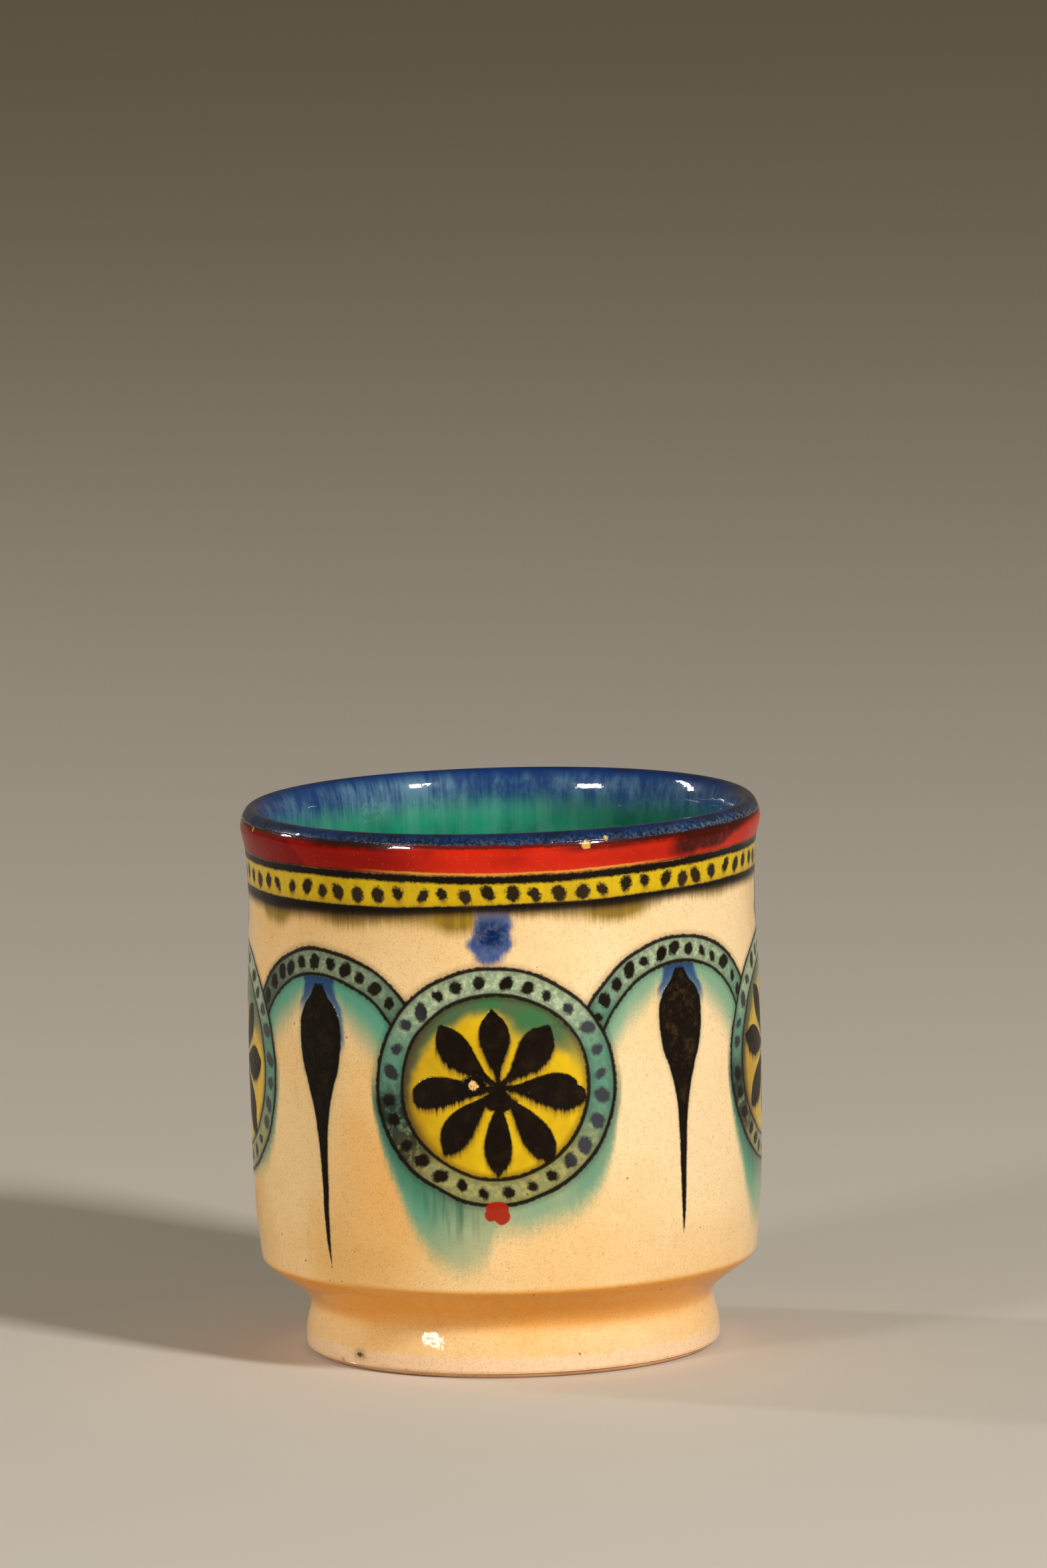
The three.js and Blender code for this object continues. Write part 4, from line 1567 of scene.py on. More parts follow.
    def medallions(self, colour: Field, run: Fields) -> tuple[Field, Field, Field]:
        """Paints the medallions, their bleeds and the spots over and under them.

        Args:
            colour: The colour underneath.
            run: The running glaze's streaks.

        Returns:
            The colour, the petals' mask and the blister's relief.
        """
        s, at, m = self.sketch, self.at, self.medallion_place()
        colour = self.spots(colour, run, m.across, at["height"])
        colour = self.disc(self.medallion_bleed(colour, run, m), m)
        colour, petals = self.petals(colour, run, m)
        colour = self.red_blot(self.border(colour, m), m.across, at["height"])
        hole = s.length((m.petal_x + self.BLISTER_LEFT) * 0.9, m.petal_y - self.BLISTER_RISE)
        hole = hole + at["grain"] * 1.2
        hole = hole + s.math("COMPARE", m.quarter, 0, 0.5) * -self.FAR + self.FAR
        relief = s.rise(hole, 1.9, 1.5) * 0.09 - s.rise(hole, 1, 0.7) * 0.2
        return self.crater(colour, hole), petals, relief

    def medallion_bleed(self, colour: Field, run: Fields, m: MedallionPlace) -> Field:
        """Lets teal run down under the ring.

        Args:
            colour: The colour underneath.
            run: The running glaze's streaks.
            m: The place on the medallion.

        Returns:
            The colour.
        """
        s, at, p = self.sketch, self.at, self.book.painting
        aslant = m.across * m.side
        limit = s.chart(aslant, self.BLEED_DEPTHS) * m.own("bleed")
        wet = (run["fine"] - 0.5) * 5 + (run["broad"] - 0.5) * 3
        bled = s.rise(-m.up + wet * 0.5 + at["grain"] * 3, limit + 1.8, limit - 4.4)
        bled = bled * s.rise(m.up, 4, -4) * s.rise(limit, 0, 4)
        outside = s.rise(m.radius, p.outer_line - 0.3, p.outer_line + 0.1)
        near = s.rise(m.radius, p.outer_line + 1.6, p.outer_line) * s.rise(m.up, 7, -2)
        strong = s.chart(aslant, self.BLEED_STRENGTHS) * (0.88 + run["broad"] * 0.24)
        thinned = 1 - s.rise(m.radius, p.outer_line + 3, p.outer_line + 10) * 0.2
        colour = s.lay(colour, Colours.BLEED, s.most(bled * strong * thinned, near * 0.6) * outside)
        close = s.rise(m.radius, p.outer_line + 5.5, p.outer_line + 0.2) * bled * outside
        shaded = s.rise(aslant, 4, -10) * 0.56 + s.rise(aslant, 10, 16) * 0.25 + 0.1
        colour = s.lay(colour, Colours.BLEED_DEEP, close * shaded)
        ragged = m.radius + (run["broad"] - 0.5) * 8
        fall = s.rise(ragged, p.outer_line + 7.5, p.outer_line + 1) * outside
        x, y, z = s.parts(at["solid"])
        streaks = s.noise(s.vector(x, y, z * 0.07), 0.72, 2, 0.5)
        streaked = s.rise(streaks, 0.44, 0.66) * s.rise(abs(aslant + 7.6), 7.2, 3.4)
        streaked = streaked * s.rise(-m.up, 12, 15)
        return s.lay(colour, Colours.BLEED_DEEP, streaked * fall * 0.7)

    def disc(self, colour: Field, m: MedallionPlace) -> Field:
        """Paints the yellow disc, with the teal that crept in from its ring.

        Args:
            colour: The colour underneath.
            m: The place on the medallion.

        Returns:
            The colour.
        """
        s, at, p = self.sketch, self.at, self.book.painting
        cloud = s.patches(at["solid"], 0.16, 0.38, 0.68)
        deep = s.clamp(cloud * 0.35 + s.rise(-m.u, 2, 15) * 0.5)
        disc = s.lay(Colours.YELLOW, Colours.YELLOW_DEEP, deep)
        toward = m.slope * 0.84 + m.aside * 0.54
        thickness = 0.9 + s.rise(m.slope, -0.1, 0.6) * 2.4 + s.rise(toward, 0.82, 1) * 3.8
        mist = (s.noise(at["solid"], 0.22, 3, 0.6) - 0.5) * 3.6
        crept = s.rise(p.inner_line - m.radius + mist, thickness + 1, thickness * 0.5)
        crept = crept * s.rise(m.slope - s.rise(m.aside, 0.2, 0.9) * 0.6, -0.7, 0.1)
        disc = s.lay(disc, Colours.DISC_TEAL, crept * 0.96)
        green = s.rise(s.length(m.across * m.side - 6.6, (m.up - 11) * 1.5) + mist * 0.8, 4.8, 0.8)
        disc = s.lay(disc, Colours.GREEN, green * 0.6)
        green = s.rise(s.length(m.across * m.side + 0.6, m.up - 14.6), 3.2, 0.8)
        disc = s.lay(disc, Colours.GREEN, green * 0.6)
        dark_side = s.rise(-m.aside, 0.5, 0.95)
        shade = s.rise(m.radius, p.inner_line - 1.4 - dark_side * 1.6, p.inner_line - 0.2)
        disc = s.lay(disc, Colours.RUN_BROWN, shade * (0.35 + dark_side * 0.4))
        return s.lay(colour, disc, m.inside)

    def petals(self, colour: Field, run: Fields, m: MedallionPlace) -> tuple[Field, Field]:
        """Paints the rosette, drawn once crisp and once where its ink ran down.

        Args:
            colour: The colour underneath.
            run: The running glaze's streaks.
            m: The place on the medallion.

        Returns:
            The colour and the petals' mask.
        """
        s, at = self.sketch, self.at
        comb = s.patches(at["hoop"], 3.4, 0.34, 0.7, roughness=0.65)
        sag = s.rise(run["fine"], 0.34, 0.72) * 0.45 + comb * 0.26
        ink = partial(s.use, self.rosette(), across=m.petal_x, quarter=m.quarter, spin=m.own("spin"))
        crisp = ink(up=m.petal_y, grain=at["grain"], soft=0.2)["mask"]
        loose = ink(up=m.petal_y + sag, grain=at["grain"], soft=0.34)["mask"]
        faded = ink(up=m.petal_y + sag * 1.5 + 0.4, grain=at["grain"] * 2, soft=0.85)["mask"]
        colour = s.lay(colour, Colours.RUN_BROWN, faded * m.inside * 0.75)
        # The lower petals' ink ran together near the middle.
        pool = 1.2 + s.rise(-m.petal_y, 0.4, 3) * 3
        heart = s.rise(s.length(m.petal_x, m.petal_y) + at["grain"] * 1.2 - pool, 0.5, -0.4)
        petals = s.most(crisp, loose, heart) * m.inside
        tone = s.patches(at["solid"], 0.4, 0.45, 0.8, roughness=0.5) * 0.25
        return s.lay(colour, s.lay(Colours.BLACK, Colours.BLACK_BROWN, tone), petals), petals

    def border(self, colour: Field, m: MedallionPlace) -> Field:
        """Paints the dotted ring and its two lines.

        Args:
            colour: The colour underneath.
            m: The place on the medallion.

        Returns:
            The colour.
        """
        s, at, p = self.sketch, self.at, self.book.painting
        ring = self.ring(m.radius, p.outer_line, p.inner_line)
        tone = s.patches(at["solid"], 0.3, 0.4, 0.68, roughness=0.5)
        colour = s.lay(colour, self.band_fill(m.v / m.radius, m.u / m.radius, tone), ring)
        angle = s.math("ARCTAN2", m.v, m.u) / math.tau
        middle = (p.outer_line + p.inner_line) / 2
        seed = m.quarter + Seed.RING_DOTS.value
        dots = self.dotted(angle, m.radius - middle, middle, p.ring_dots, seed)
        smudge = s.rise(-(m.u * m.side * 0.9 + m.v * 0.42) / m.radius, 0.86, 0.985)
        smudge = smudge * s.patches(at["solid"], 0.5, 0.26, 0.52) * 0.86
        colour = s.lay(colour, Colours.BLACK, smudge * ring)
        worn_left = s.rise(-m.aside, 0.5, 0.85) * s.rise(m.slope, -0.2, 0.2) * 0.2
        worn = s.rise(m.aside, 0.55, 0.85) * 0.3 + worn_left
        colour = s.lay(colour, s.lay(Colours.BLACK, Colours.WORN, worn), dots * ring)
        return s.lay(colour, Colours.BLACK, self.lines(m.radius, p.outer_line, p.inner_line))

    def crater(self, colour: Field, distance: Field) -> Field:
        """Breaks the ink at one blister on the front rosette.

        Args:
            colour: The colour underneath.
            distance: The distance from the blister.

        Returns:
            The colour.
        """
        s = self.sketch
        colour = s.lay(colour, Colours.BLACK, s.rise(distance, 2, 1.6))
        rough = s.noise(self.at["solid"], 2.2, 3, 0.7)
        bare = s.lay(Colours.GOLD_LINE, Colours.CREAM_PALE, s.rise(rough, 0.42, 0.62) * 0.8)
        bare = s.lay(bare, Colours.BLACK_BROWN, s.rise(rough, 0.44, 0.34))
        return s.lay(colour, bare, s.rise(distance, 0.95, 0.62))

    def spots(self, colour: Field, run: Fields, across: Field, z: Field) -> Field:
        """Paints the cobalt blot over a medallion and the red one under it.

        Args:
            colour: The colour underneath.
            run: The running glaze's streaks.
            across: The distance beside the medallion's centre.
            z: The height.

        Returns:
            The colour.
        """
        s, at = self.sketch, self.at
        ragged = (s.noise(at["solid"], 0.42, 3, 0.6) - 0.5) * 2.6
        hair = (run["fine"] - 0.5) * 1.6
        half = s.chart(z, self.BLOT_WIDTHS)
        beside = abs(across + 0.1 - (z - self.BLOT_HEIGHT) * 0.12) - half + ragged * 0.8 + hair
        soft = s.rise(beside, 1, -0.8) * s.rise(z + hair, 69.2, 71) * s.rise(z, 79.8, 79.2)
        mottle = s.patches(at["solid"], 0.8, 0.34, 0.6, detail=4, roughness=0.7)
        soft = soft * (0.95 + mottle * 0.05) * (1 - s.rise(z, 76.8, 78.8) * 0.08)
        core = s.length((across + 0.3) / 2.9, (z - self.BLOT_HEIGHT) / 2.3) + ragged * 0.3 + hair * 0.4
        core = s.rise(core, 1.5, 0.4)
        blue = s.lay(Colours.COBALT_LIGHT, Colours.COBALT_DEEP, core * (0.55 + mottle * 0.45))
        return s.lay(colour, blue, soft)

    def red_blot(self, colour: Field, across: Field, z: Field) -> Field:
        """Paints the small red blot under a medallion.

        Args:
            colour: The colour underneath.
            across: The distance beside the medallion's centre.
            z: The height.

        Returns:
            The colour.
        """
        s, grain = self.sketch, self.at["grain"]
        left = s.length(across + 0.95, z - 28.75) - 1.1
        right = s.length(across - 0.75, z - 28.45) - 1.35
        head = s.length(across, (z - 29.7) * 1.5) - 1.9
        blot = s.least(s.least(left, right), head) + grain * 0.35
        tone = s.lay(Colours.RED_BLOT, Colours.RED_LIGHT, s.rise(grain, 0, 0.3) * 0.2)
        return s.lay(colour, tone, s.rise(blot, 0.16, -0.12) * 0.97)

    def rosette(self) -> NodeTree:
        """Gives the group that draws the rosette, made when first asked for.

        Returns:
            The group.
        """
        known = bpy.data.node_groups.get("rosette")
        if known:
            return known
        return make_group("rosette", "across up quarter spin grain soft", "mask", self.draw_rosette)

    def draw_rosette(self, s: Sketch, given: Fields) -> Fields:
        """Draws eight petals, each with its own length and lean.

        Args:
            s: The group's sketch.
            given: Its inputs.

        Returns:
            Its outputs.
        """
        p = self.book.painting
        x, y = given["across"], given["up"]
        radius = s.length(x, y)
        angle = s.math("ARCTAN2", y, x) / math.tau
        shifted = s.math("WRAP", angle + given["quarter"] * 0.375, 1, 0)
        swing = s.chart(shifted, self.PETAL_TURNS)
        reach = s.chart(shifted, self.PETAL_LENGTHS)
        degrees = angle * 360 + swing + given["spin"]
        tip = s.chart(shifted, self.PETAL_TIP_TURNS)
        out = s.clamp(radius / reach)
        degrees = degrees - tip * (out * out * out)
        step = 360 / p.petals
        petal = degrees - s.math("ROUND", degrees / step) * step
        along = radius * s.math("COSINE", petal * DEGREE)
        beside = abs(radius * s.math("SINE", petal * DEGREE))
        share = s.clamp(along / reach)
        blunt = s.chart(shifted, self.PETAL_BLUNTNESS)
        slim, full = s.chart(share, self.PETAL_WIDTHS), s.chart(share, self.BLUNT_WIDTHS)
        width = (slim + (full - slim) * blunt) * p.petal_half_width
        soft = given["soft"]
        mask = s.rise(beside - width + given["grain"] * 0.35, soft, -soft)
        return {"mask": mask * s.rise(along - reach, soft, -soft)}


class CobaltAndRed(Finish):
    """The rim: red band outside, cobalt over the lip and streaks running down the inside."""

    # Each blister's turn in degrees, its height and its reach in millimetres.
    BLISTERS = ((18.9, 89.3, 0.85), (23.6, 90.1, 0.45), (-71.5, 89.2, 0.5))
    COAT, COAT_ON_RED, COAT_INSIDE = 0.82, 0.67, 0.4

    def build(self) -> Material:
        """Paints the rim.

        Returns:
            The material.
        """
        s, at = self.sketch, self.at
        size = self.book.size
        z = at["height"]
        run, bands = self.streaks(Seed.INSIDE), self.bands(Colours.CREAM)
        lip_middle = size.rim_radius - size.lip_crest
        inner = s.rise(at["radius"], lip_middle + 0.6, lip_middle - 0.6)
        hair = (run["fine"] - 0.5) * 1.3 + (run["broad"] - 0.5) * 1.6
        drop = size.rim_height - z
        tone = s.patches(at["solid"], 0.4, 0.4, 0.68)
        cloud = s.patches(at["solid"], 0.12, 0.4, 0.64)
        blue = s.lay(Colours.NAVY, Colours.COBALT, s.clamp(tone * 0.4 + cloud * 0.3))
        # Outside: a burnt line, a misty edge and cobalt over the top.
        colour = s.lay(bands["colour"], Colours.BURNT, s.rise(drop + hair * 0.3, 2.5, 2.1) * 0.8)
        edge = s.rise(drop + hair * 0.3, 1.85, 1.5)
        specks = s.patches(at["solid"], 1.7, 0.42, 0.64, roughness=0.7)
        misty = 0.26 + s.rise(abs(at["turn"] - 58), 34, 8) * 0.5
        misty = misty + s.rise(at["turn"], -40, 0) * 0.14
        specks = specks * misty * s.rise(drop, 0, 1.5)
        colour = s.lay(colour, s.lay(blue, Colours.MIST, s.clamp(specks) * 0.7), edge)
        # Inside: cobalt that thins out to mist and then to green, with the lining's painted shade on the
        # right.
        within = s.lay(blue, Colours.COBALT, s.rise(drop, -0.2, 0.9) * 0.9)
        x, y, _ = s.parts(at["hoop"])
        drifts = s.noise(s.vector(x, y, z * 0.55), 0.34, 4, 0.66)
        pale = s.rise(run["fine"], 0.42, 0.7) * 0.1 + s.rise(drifts, 0.38, 0.68) * 0.6 + 0.1
        pale = pale + s.rise(abs(at["turn"] + 152), 26, 8) * s.rise(run["fine"], 0.3, 0.6) * 0.4
        within = s.lay(within, Colours.MIST_BLUE, s.clamp(pale) * s.rise(drop, 0.1, 2.2) * 0.75)
        fade = s.rise(drop + hair * 1.6, 3, 8)
        within = s.lay(within, turquoise(s, at, run), fade)
        colour = s.lay(colour, within, inner)
        blister: Term = 0
        for turn, level, reach in self.BLISTERS:
            beside = (at["turn"] - turn) * size.degree
            distance = s.length(beside, z - level) + at["grain"] * 0.7
            blister = s.most(blister, s.rise(distance, reach, reach - 0.25))
        blister = blister * (1 - inner)
        colour = s.lay(colour, Colours.GOLD_LINE, blister)
        skin = self.skin()
        roll = edge * 0.1 * (1 - inner)
        outer_relief = bands["relief"] * (1 - inner) * s.rise(drop, 1.2, 2)
        height = skin["height"] + roll + outer_relief - blister * 0.12
        on_red, inside = (1 - inner) * s.rise(drop, 2, 2.8), inner * s.rise(drop, 4, 9)
        coat = self.COAT - on_red * self.COAT_ON_RED - inside * self.COAT_INSIDE
        return self.close(colour, skin["roughness"], height, coat)


def turquoise(s: Sketch, at: Fields, run: Fields) -> Field:
    """Colours the turquoise lining with painted shade on its right, shared by the rim's inside and the
    hollow.

    Args:
        s: The material's sketch.
        at: The places on the mug.
        run: The running glaze's streaks.

    Returns:
        The colour.
    """
    tone = s.patches(at["solid"], 0.09, 0.38, 0.66)
    colour = s.lay(Colours.TURQUOISE, Colours.TURQUOISE_DEEP, tone * 0.6)
    pale = s.rise(run["broad"], 0.42, 0.72) * 0.3 + s.rise(run["fine"], 0.36, 0.78) * 0.16
    pale = pale + s.rise(at["height"], 81.0, 86.0) * 0.3
    colour = s.lay(colour, Colours.TURQUOISE_PALE, s.clamp(pale) * s.rise(at["height"], 70.0, 86.0))
    # Painted shade: the right-hand side is darkened towards a deep turquoise.
    right_painted_shade = s.rise(abs(at["turn"] - 128.0), 56.0, 18.0)
    return s.lay(colour, Colours.TURQUOISE_PAINTED_SHADE, right_painted_shade * 0.55)


class TurquoiseLining(Finish):
    """The turquoise glaze in the hollow, deeper where it pooled on the floor, with painted shade on its
    right.
    """

    def build(self) -> Material:
        """Paints the lining.

        Returns:
            The material.
        """
        s, at = self.sketch, self.at
        run = self.streaks(Seed.INSIDE)
        colour = turquoise(s, at, run)
        floor = self.book.size.floor_height
        pool = s.rise(at["height"], floor + 9, floor + 0.5)
        colour = s.lay(colour, Colours.TURQUOISE_DEEP, pool * 0.6)
        spiral = s.math("SINE", at["radius"] * 1.1 + at["turn"] * DEGREE + at["sway"])
        skin = self.skin()
        spiral = spiral * s.rise(at["radius"], 31, 27)
        colour = self.speckled(colour, 0.35)
        return self.close(colour, skin["roughness"], skin["height"] + spiral * 0.06, self.COAT)


class BareClay(Finish):
    """Fired clay where the glaze was wiped off."""

    COAT_ROUGHNESS = 0.3

    def build(self) -> Material:
        """Colours the clay.

        Returns:
            The material.
        """
        s, at = self.sketch, self.at
        cloud = s.patches(at["solid"], 0.08, 0.36, 0.68, detail=4, roughness=0.6)
        colour = s.lay(Colours.CLAY, Colours.CLAY_DARK, cloud * 0.5)
        grit = s.noise(at["solid"], 2.2, 4, 0.7)
        colour = s.lay(colour, Colours.CLAY_PALE, s.rise(grit, 0.52, 0.8) * 0.6)
        colour = self.speckled(colour, 1)
        rings = s.math("SINE", at["radius"] * 4.5 + at["sway"] * 2)
        worn = s.rise(at["height"], 0.5, 0.05)
        colour = s.lay(colour, Colours.CLAY_DARK, worn * s.rise(grit, 0.4, 0.6) * 0.5)
        height = grit * 0.09 + rings * 0.02
        return self.close(colour, 0.72 + cloud * 0.15, height, coat=0)


@dataclass
class Mug:
    """The whole mug: five turned shells that fit face to face."""

    FOOT_SHOWN: ClassVar[int] = 26
    size: MugSize
    painting: Painting
    lathe: Lathe = field(default_factory=Lathe)
    pieces: list[Object] = field(default_factory=list)

    def wall_outline(self) -> Outline:
        """Gives the glazed outside from the bare edge up to the lip.

        Returns:
            The outline, from below upwards.
        """
        m = self.size
        rim, foot, band, rounding = m.rim_radius, m.foot_radius, m.foot_band_top, m.shoulder_rounding
        neck, neck_z = rim - m.neck_inset, m.neck_height
        shoulder, shoulder_z = rim - m.shoulder_inset, m.shoulder_height
        outline = Outline().line(foot - 0.12, m.bare_height)
        outline.sweep((foot - 0.35, m.bare_height + 0.5), (0.37, 0.5), (-60, 0), 4)
        outline.line(foot, band - 0.3, 3)
        outline.bend((foot, band + 0.9), (neck + 0.4, neck_z - 1.7), (neck, neck_z), 10)
        corner = (shoulder - rounding, shoulder_z - rounding)
        outline.bend((neck + 0.3, neck_z + 2.8), (shoulder - 3.6, shoulder_z - 3.3), corner, 14)
        outline.bend(
            (shoulder - rounding * 0.4, shoulder_z - rounding * 0.45),
            (shoulder, shoulder_z - rounding * 0.2),
            (shoulder + 0.06, shoulder_z + rounding),
            5,
        )
        stations = (
            (shoulder + 0.42, shoulder_z + 4.5),
            (rim - m.lower_belly_inset, m.lower_belly_height),
            (rim - m.belly_inset, m.belly_height),
            (rim - m.belly_inset - 0.12, m.belly_height + 15),
            (rim - m.waist_inset, m.waist_height),
            (rim - m.flare_inset, self.seam),
        )
        return outline.through(stations, 8)

    @property
    def seam(self) -> float:
        """The height at which the painted wall meets the rim."""
        return self.size.red_bottom

    @property
    def inner_radius(self) -> float:
        """The hollow's radius at the lip."""
        return self.size.rim_radius - self.size.lip_thickness

    @property
    def lining_top(self) -> float:
        """The height at which the rim's inside meets the lining."""
        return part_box("turquoise_lining")[1].z / MM

    def rim_outline(self) -> Outline:
        """Gives the rim's outside, its lip and its inside down to the lining.

        Returns:
            The outline, from the outside in.
        """
        m = self.size
        outline = Outline().line(m.rim_radius - m.flare_inset, self.seam)
        outline.through([(m.rim_radius - 0.14, m.rim_height - m.lip_height - 0.9)], 6)
        crest = m.rim_radius - m.lip_crest
        outline.sweep((crest, m.rim_height - m.lip_height), (m.lip_crest, m.lip_height), (-4, 90), 16)
        inward = (m.lip_thickness - m.lip_crest, m.lip_inner_height)
        outline.sweep((crest, m.rim_height - m.lip_inner_height), inward, (90, 170), 22)
        return outline.line(self.inner_radius - m.seam_inset, self.lining_top, 5)

    def lining_outline(self) -> Outline:
        """Gives the hollow from the rim's lower edge down to the middle of the floor.

        Returns:
            The outline, from above downwards.
        """
        m, inner = self.size, self.inner_radius
        floor, corner = m.floor_height, m.floor_corner
        outline = Outline().line(inner - m.seam_inset, self.lining_top)
        levels = (m.waist_height, m.belly_height, m.lower_belly_height, floor + corner)
        outline.through([(inner - inset, level) for inset, level in zip(m.lining_insets, levels)], 8)
        middle = (inner - m.lining_insets[-1] - corner, floor + corner)
        outline.sweep(middle, (corner, corner), (0, -90), 14)
        return outline.bend((20, floor - 0.1), (9, floor - 0.5), (0, floor - 0.45), 12)

    def build(self) -> None:
        """Turns the five shells and dresses each."""
        book = GlazeBook(self.size, self.painting)
        touch = HandTouch(self.size)
        m = self.size
        wall, rim, lining = self.wall_outline(), self.rim_outline(), self.lining_outline()
        wall_back, rim_back, lining_back = wall.inset(m.glaze), rim.inset(m.glaze), lining.inset(m.glaze)
        wall_back[0] = (wall.points[-1][0] - m.glaze, wall.points[-1][1])
        wall_back[-1] = (m.foot_radius - m.glaze - 0.1, m.bare_height)
        rim_back[-1] = wall_back[0]
        rim_back[0] = (rim.points[-1][0] + m.glaze, rim.points[-1][1])
        lining_back[-1] = rim_back[0]
        lining_back[0] = (0.0, lining.points[-1][1] - m.glaze)
        cream = PaintedCream("painted_cream_glaze", book).build()
        cobalt = CobaltAndRed("cobalt_and_red_glaze", book).build()
        turquoise_glaze = TurquoiseLining("turquoise_glaze", book).build()
        clay = BareClay("bare_clay", book).build()
        motifs = [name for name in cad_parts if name.startswith(("front", "right", "back", "left"))]
        shell = [*wall.points, *wall_back, wall.points[0]]
        on_wall = ["cream_glaze", "yellow_band", *motifs]
        self.add("painted_wall", shell, len(wall.points), cream, "cream_glaze", on_wall)
        shell = [*rim.points, *rim_back, rim.points[0]]
        self.add("painted_rim", shell, len(rim.points), cobalt, "cobalt_glaze", ["cobalt_lip", "red_band"])
        shell, shown = [*lining.points, *lining_back], len(lining.points)
        self.add("turquoise_hollow", shell, shown, turquoise_glaze, "turquoise_glaze", ["turquoise_lining"])
        neck = next(i for i, point in enumerate(wall.points) if point[1] >= m.neck_height - 1e-6)
        split = len(wall_back) - 1 - neck
        boss = m.foot_radius - m.foot_ring_width
        core = [(0.0, m.boss_height), (boss - 0.8, m.boss_height), (boss - 0.2, m.boss_height + 0.5)]
        core += [(boss, m.neck_height), (wall_back[split][0], m.neck_height)]
        core += wall_back[:split][::-1] + rim_back[:-1][::-1] + lining_back[::-1][1:]
        self.add("clay_core", core, len(core), clay, "clay", ["clay_body"])
        foot = self.foot_points(wall_back, split, boss)
        self.add("foot_clay", foot, self.FOOT_SHOWN, clay, "clay", ["foot_ring"])
        for piece in self.pieces:
            touch.apply(piece)

    def foot_points(self, wall_back: list[Point], split: int, boss: float) -> list[Point]:
        """Gives the foot ring's closed outline.

        Args:
            wall_back: The clay side of the outer glaze, from the rim down.
            split: Where the neck is in it.
            boss: The boss's radius.

        Returns:
            The outline's points.
        """
        m = self.size
        inside = boss + 0.8
        ring = Outline().line(boss, m.neck_height).line(boss, m.boss_height + 0.5, 4)
        ring.bend((boss + 0.1, m.boss_height - 1.0), (inside - 0.2, 2.0), (inside, 1.1), 8)
        ring.sweep((inside + 1.0, 1.0), (1.0, 1.0), (180, 270), 6)
        ring.line(m.foot_radius - m.glaze - 1.0, 0.0, 4)
        ring.sweep((m.foot_radius - m.glaze - 1.0, 0.9), (0.9, 0.9), (-90, 0), 6)
        climb = wall_back[split:-1][::-1]
        return [*ring.points, *climb, (boss, m.neck_height)]

    def add(
        self,
        name: str,
        points: Sequence[Point],
        shown: int,
        material: Material,
        slot: str,
        nodes: Sequence[str],
    ) -> None:
        """Turns one shell and gives it its finish and its place in the frame.

        Args:
            name: The piece's name.
            points: Its outline.
            shown: How many of the points lie on the side that is seen.
            material: Its finish.
            slot: A material slot's name; not used.
            nodes: The CAD nodes that it stands for.
        """
        piece = self.lathe.turn(name, points, shown)
        piece.data.materials.clear()
        piece.data.materials.append(material)
        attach(piece, "root")
        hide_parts(*nodes)
        self.pieces.append(piece)
        log.info("%s: %d faces, for %s", name, len(piece.data.polygons), ", ".join(nodes))


@dataclass(frozen=True)
class Softbox:
    """A soft light that faces the mug, with its angles in degrees and its distance and size in metres."""

    name: str
    turn: float
    rise: float
    distance: float
    size: Point
    watts: float

    def add(self, target: Vector) -> None:
        """Hangs the light.

        Args:
            target: The point that it faces.
        """
        data = bpy.data.lights.new(self.name, "AREA")
        data.shape = "RECTANGLE"
        data.size, data.size_y = self.size
        data.energy = self.watts
        light = bpy.data.objects.new(self.name, data)
        bpy.context.scene.collection.objects.link(light)
        a, e = math.radians(self.turn), math.radians(self.rise)
        toward = Vector((math.sin(a) * math.cos(e), -math.cos(a) * math.cos(e), math.sin(e)))
        light.location = place = target + self.distance * toward
        light.rotation_euler = (target - place).to_track_quat("-Z", "Y").to_euler()


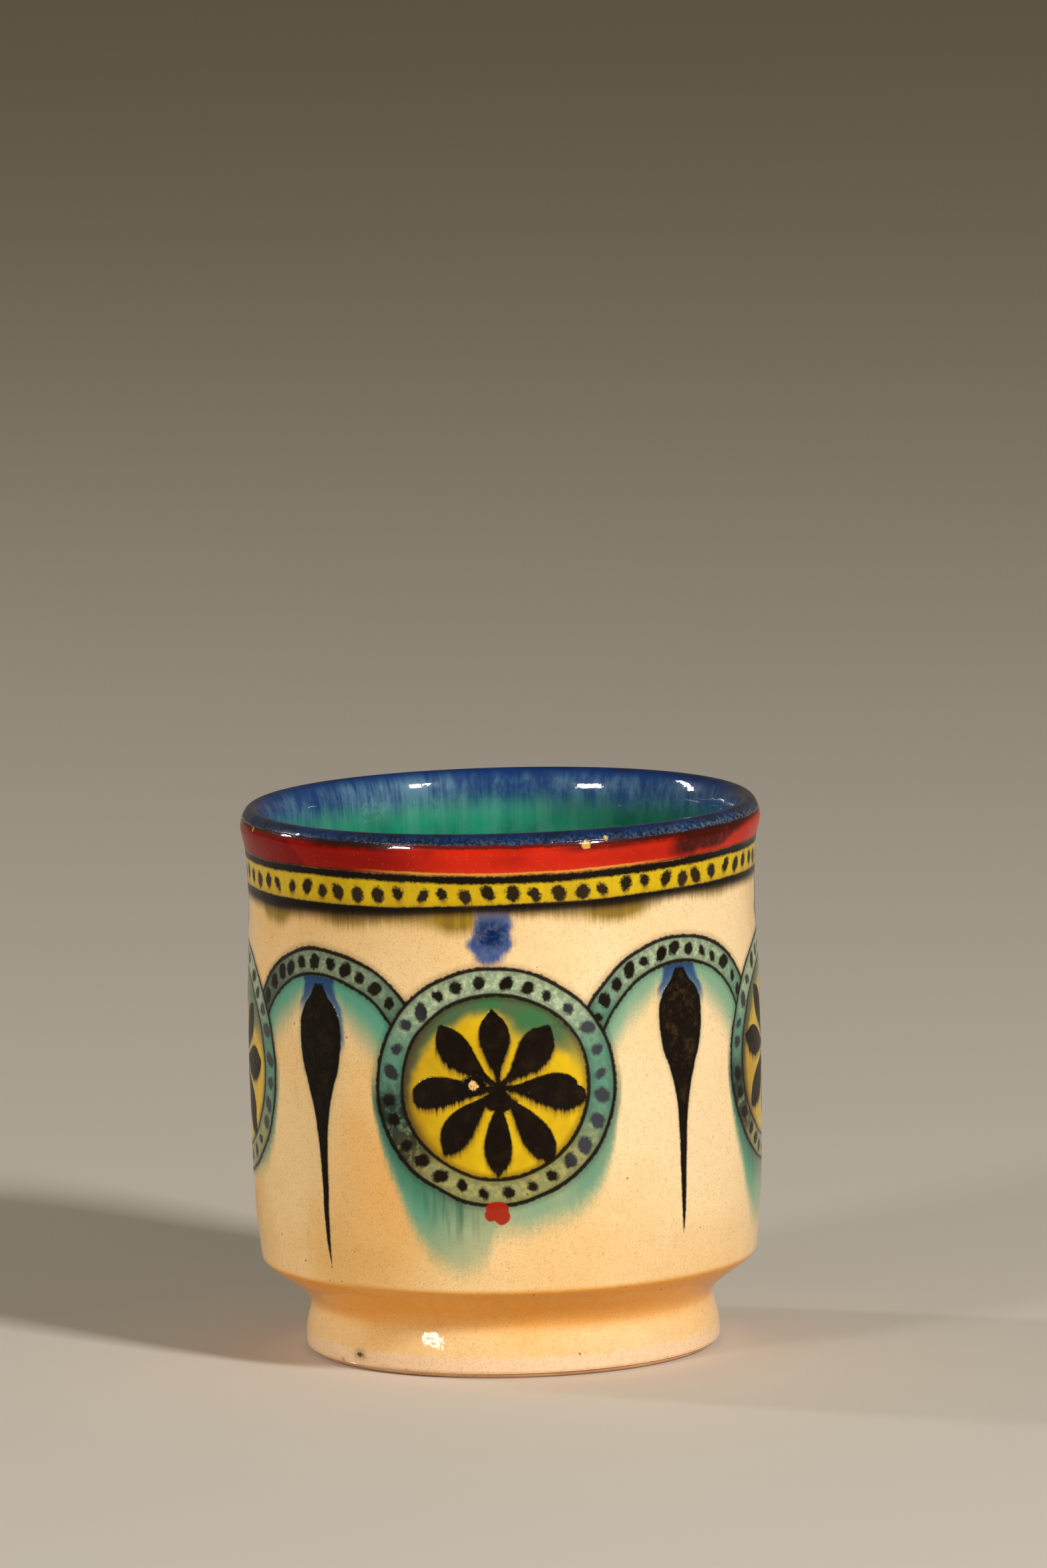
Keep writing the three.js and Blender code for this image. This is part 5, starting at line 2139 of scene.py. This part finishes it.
@dataclass(frozen=True)
class Studio:
    """The plain pale floor, the key light from the right, the fills, the surroundings and the camera."""

    FLOOR: ClassVar[Colour] = paint(214, 205, 190)
    FLOOR_ROUGHNESS: ClassVar[float] = 0.75
    SURROUNDINGS: ClassVar[Colour] = paint(206, 189, 160)
    camera_height: float = 364.8
    camera_distance: float = 2000.0
    pitch: float = 0.1346
    yaw: float = 0.0020
    roll: float = -0.0210
    focal_pixels: float = 18206.0
    frame_height: float = 2349.0
    sensor: float = 36.0
    floor_size: float = 14.0
    surroundings_strength: float = 0.2
    lit_height: float = 50.0
    softboxes: tuple[Softbox, ...] = (
        Softbox("key", turn=42.0, rise=29.0, distance=1.7, size=(0.21, 0.3), watts=25.0),
        Softbox("front_left", turn=-46.0, rise=17.0, distance=1.9, size=(0.36, 0.26), watts=11.3),
        Softbox("left", turn=-113.0, rise=22.0, distance=1.9, size=(0.15, 0.6), watts=8.6),
    )

    def add_camera(self) -> None:
        """Stands the camera where the photograph was taken from."""
        data = bpy.data.cameras.new("camera")
        data.sensor_width = self.sensor
        data.lens = self.focal_pixels / self.frame_height * self.sensor
        data.clip_start, data.clip_end = 0.1, 50.0
        camera = bpy.data.objects.new("camera", data)
        bpy.context.scene.collection.objects.link(camera)
        camera.location = (0, -self.camera_distance * MM, self.camera_height * MM)
        level = math.cos(self.pitch)
        look = Vector((math.sin(self.yaw) * level, math.cos(self.yaw) * level, -math.sin(self.pitch)))
        aim = look.to_track_quat("-Z", "Y").to_matrix()
        camera.rotation_euler = (aim @ Euler((0, 0, self.roll)).to_matrix()).to_euler()
        bpy.context.scene.camera = camera

    def add_floor(self) -> None:
        """Lays the plain pale floor."""
        bpy.ops.object.select_all(action="DESELECT")
        bpy.ops.mesh.primitive_plane_add(size=self.floor_size, location=(0, 0, 0))
        floor = bpy.context.object
        floor.name = "floor"
        material = bpy.data.materials.new("pale_floor")
        material.use_nodes = True
        shader = material.node_tree.nodes["Principled BSDF"]
        shader.inputs["Base Color"].default_value = self.FLOOR
        shader.inputs["Roughness"].default_value = self.FLOOR_ROUGHNESS
        floor.data.materials.append(material)

    def add_surroundings(self) -> None:
        """Sets the pale surroundings, which mirror in the glaze."""
        world = bpy.data.worlds.new("studio")
        world.use_nodes = True
        background = world.node_tree.nodes["Background"]
        background.inputs["Color"].default_value = self.SURROUNDINGS
        background.inputs["Strength"].default_value = self.surroundings_strength
        bpy.context.scene.world = world
        bpy.context.scene.view_settings.view_transform = "Standard"

    def build(self) -> None:
        """Sets up the whole studio."""
        self.add_camera()
        self.add_floor()
        for softbox in self.softboxes:
            softbox.add(Vector((0, 0, self.lit_height * MM)))
        self.add_surroundings()


def main() -> None:
    """Builds the studio and the mug."""
    logging.basicConfig(level=logging.INFO, format="%(name)s: %(message)s")
    Studio().build()
    Mug(MugSize.from_frame(), Painting()).build()


if __name__ == "__main__":
    main()
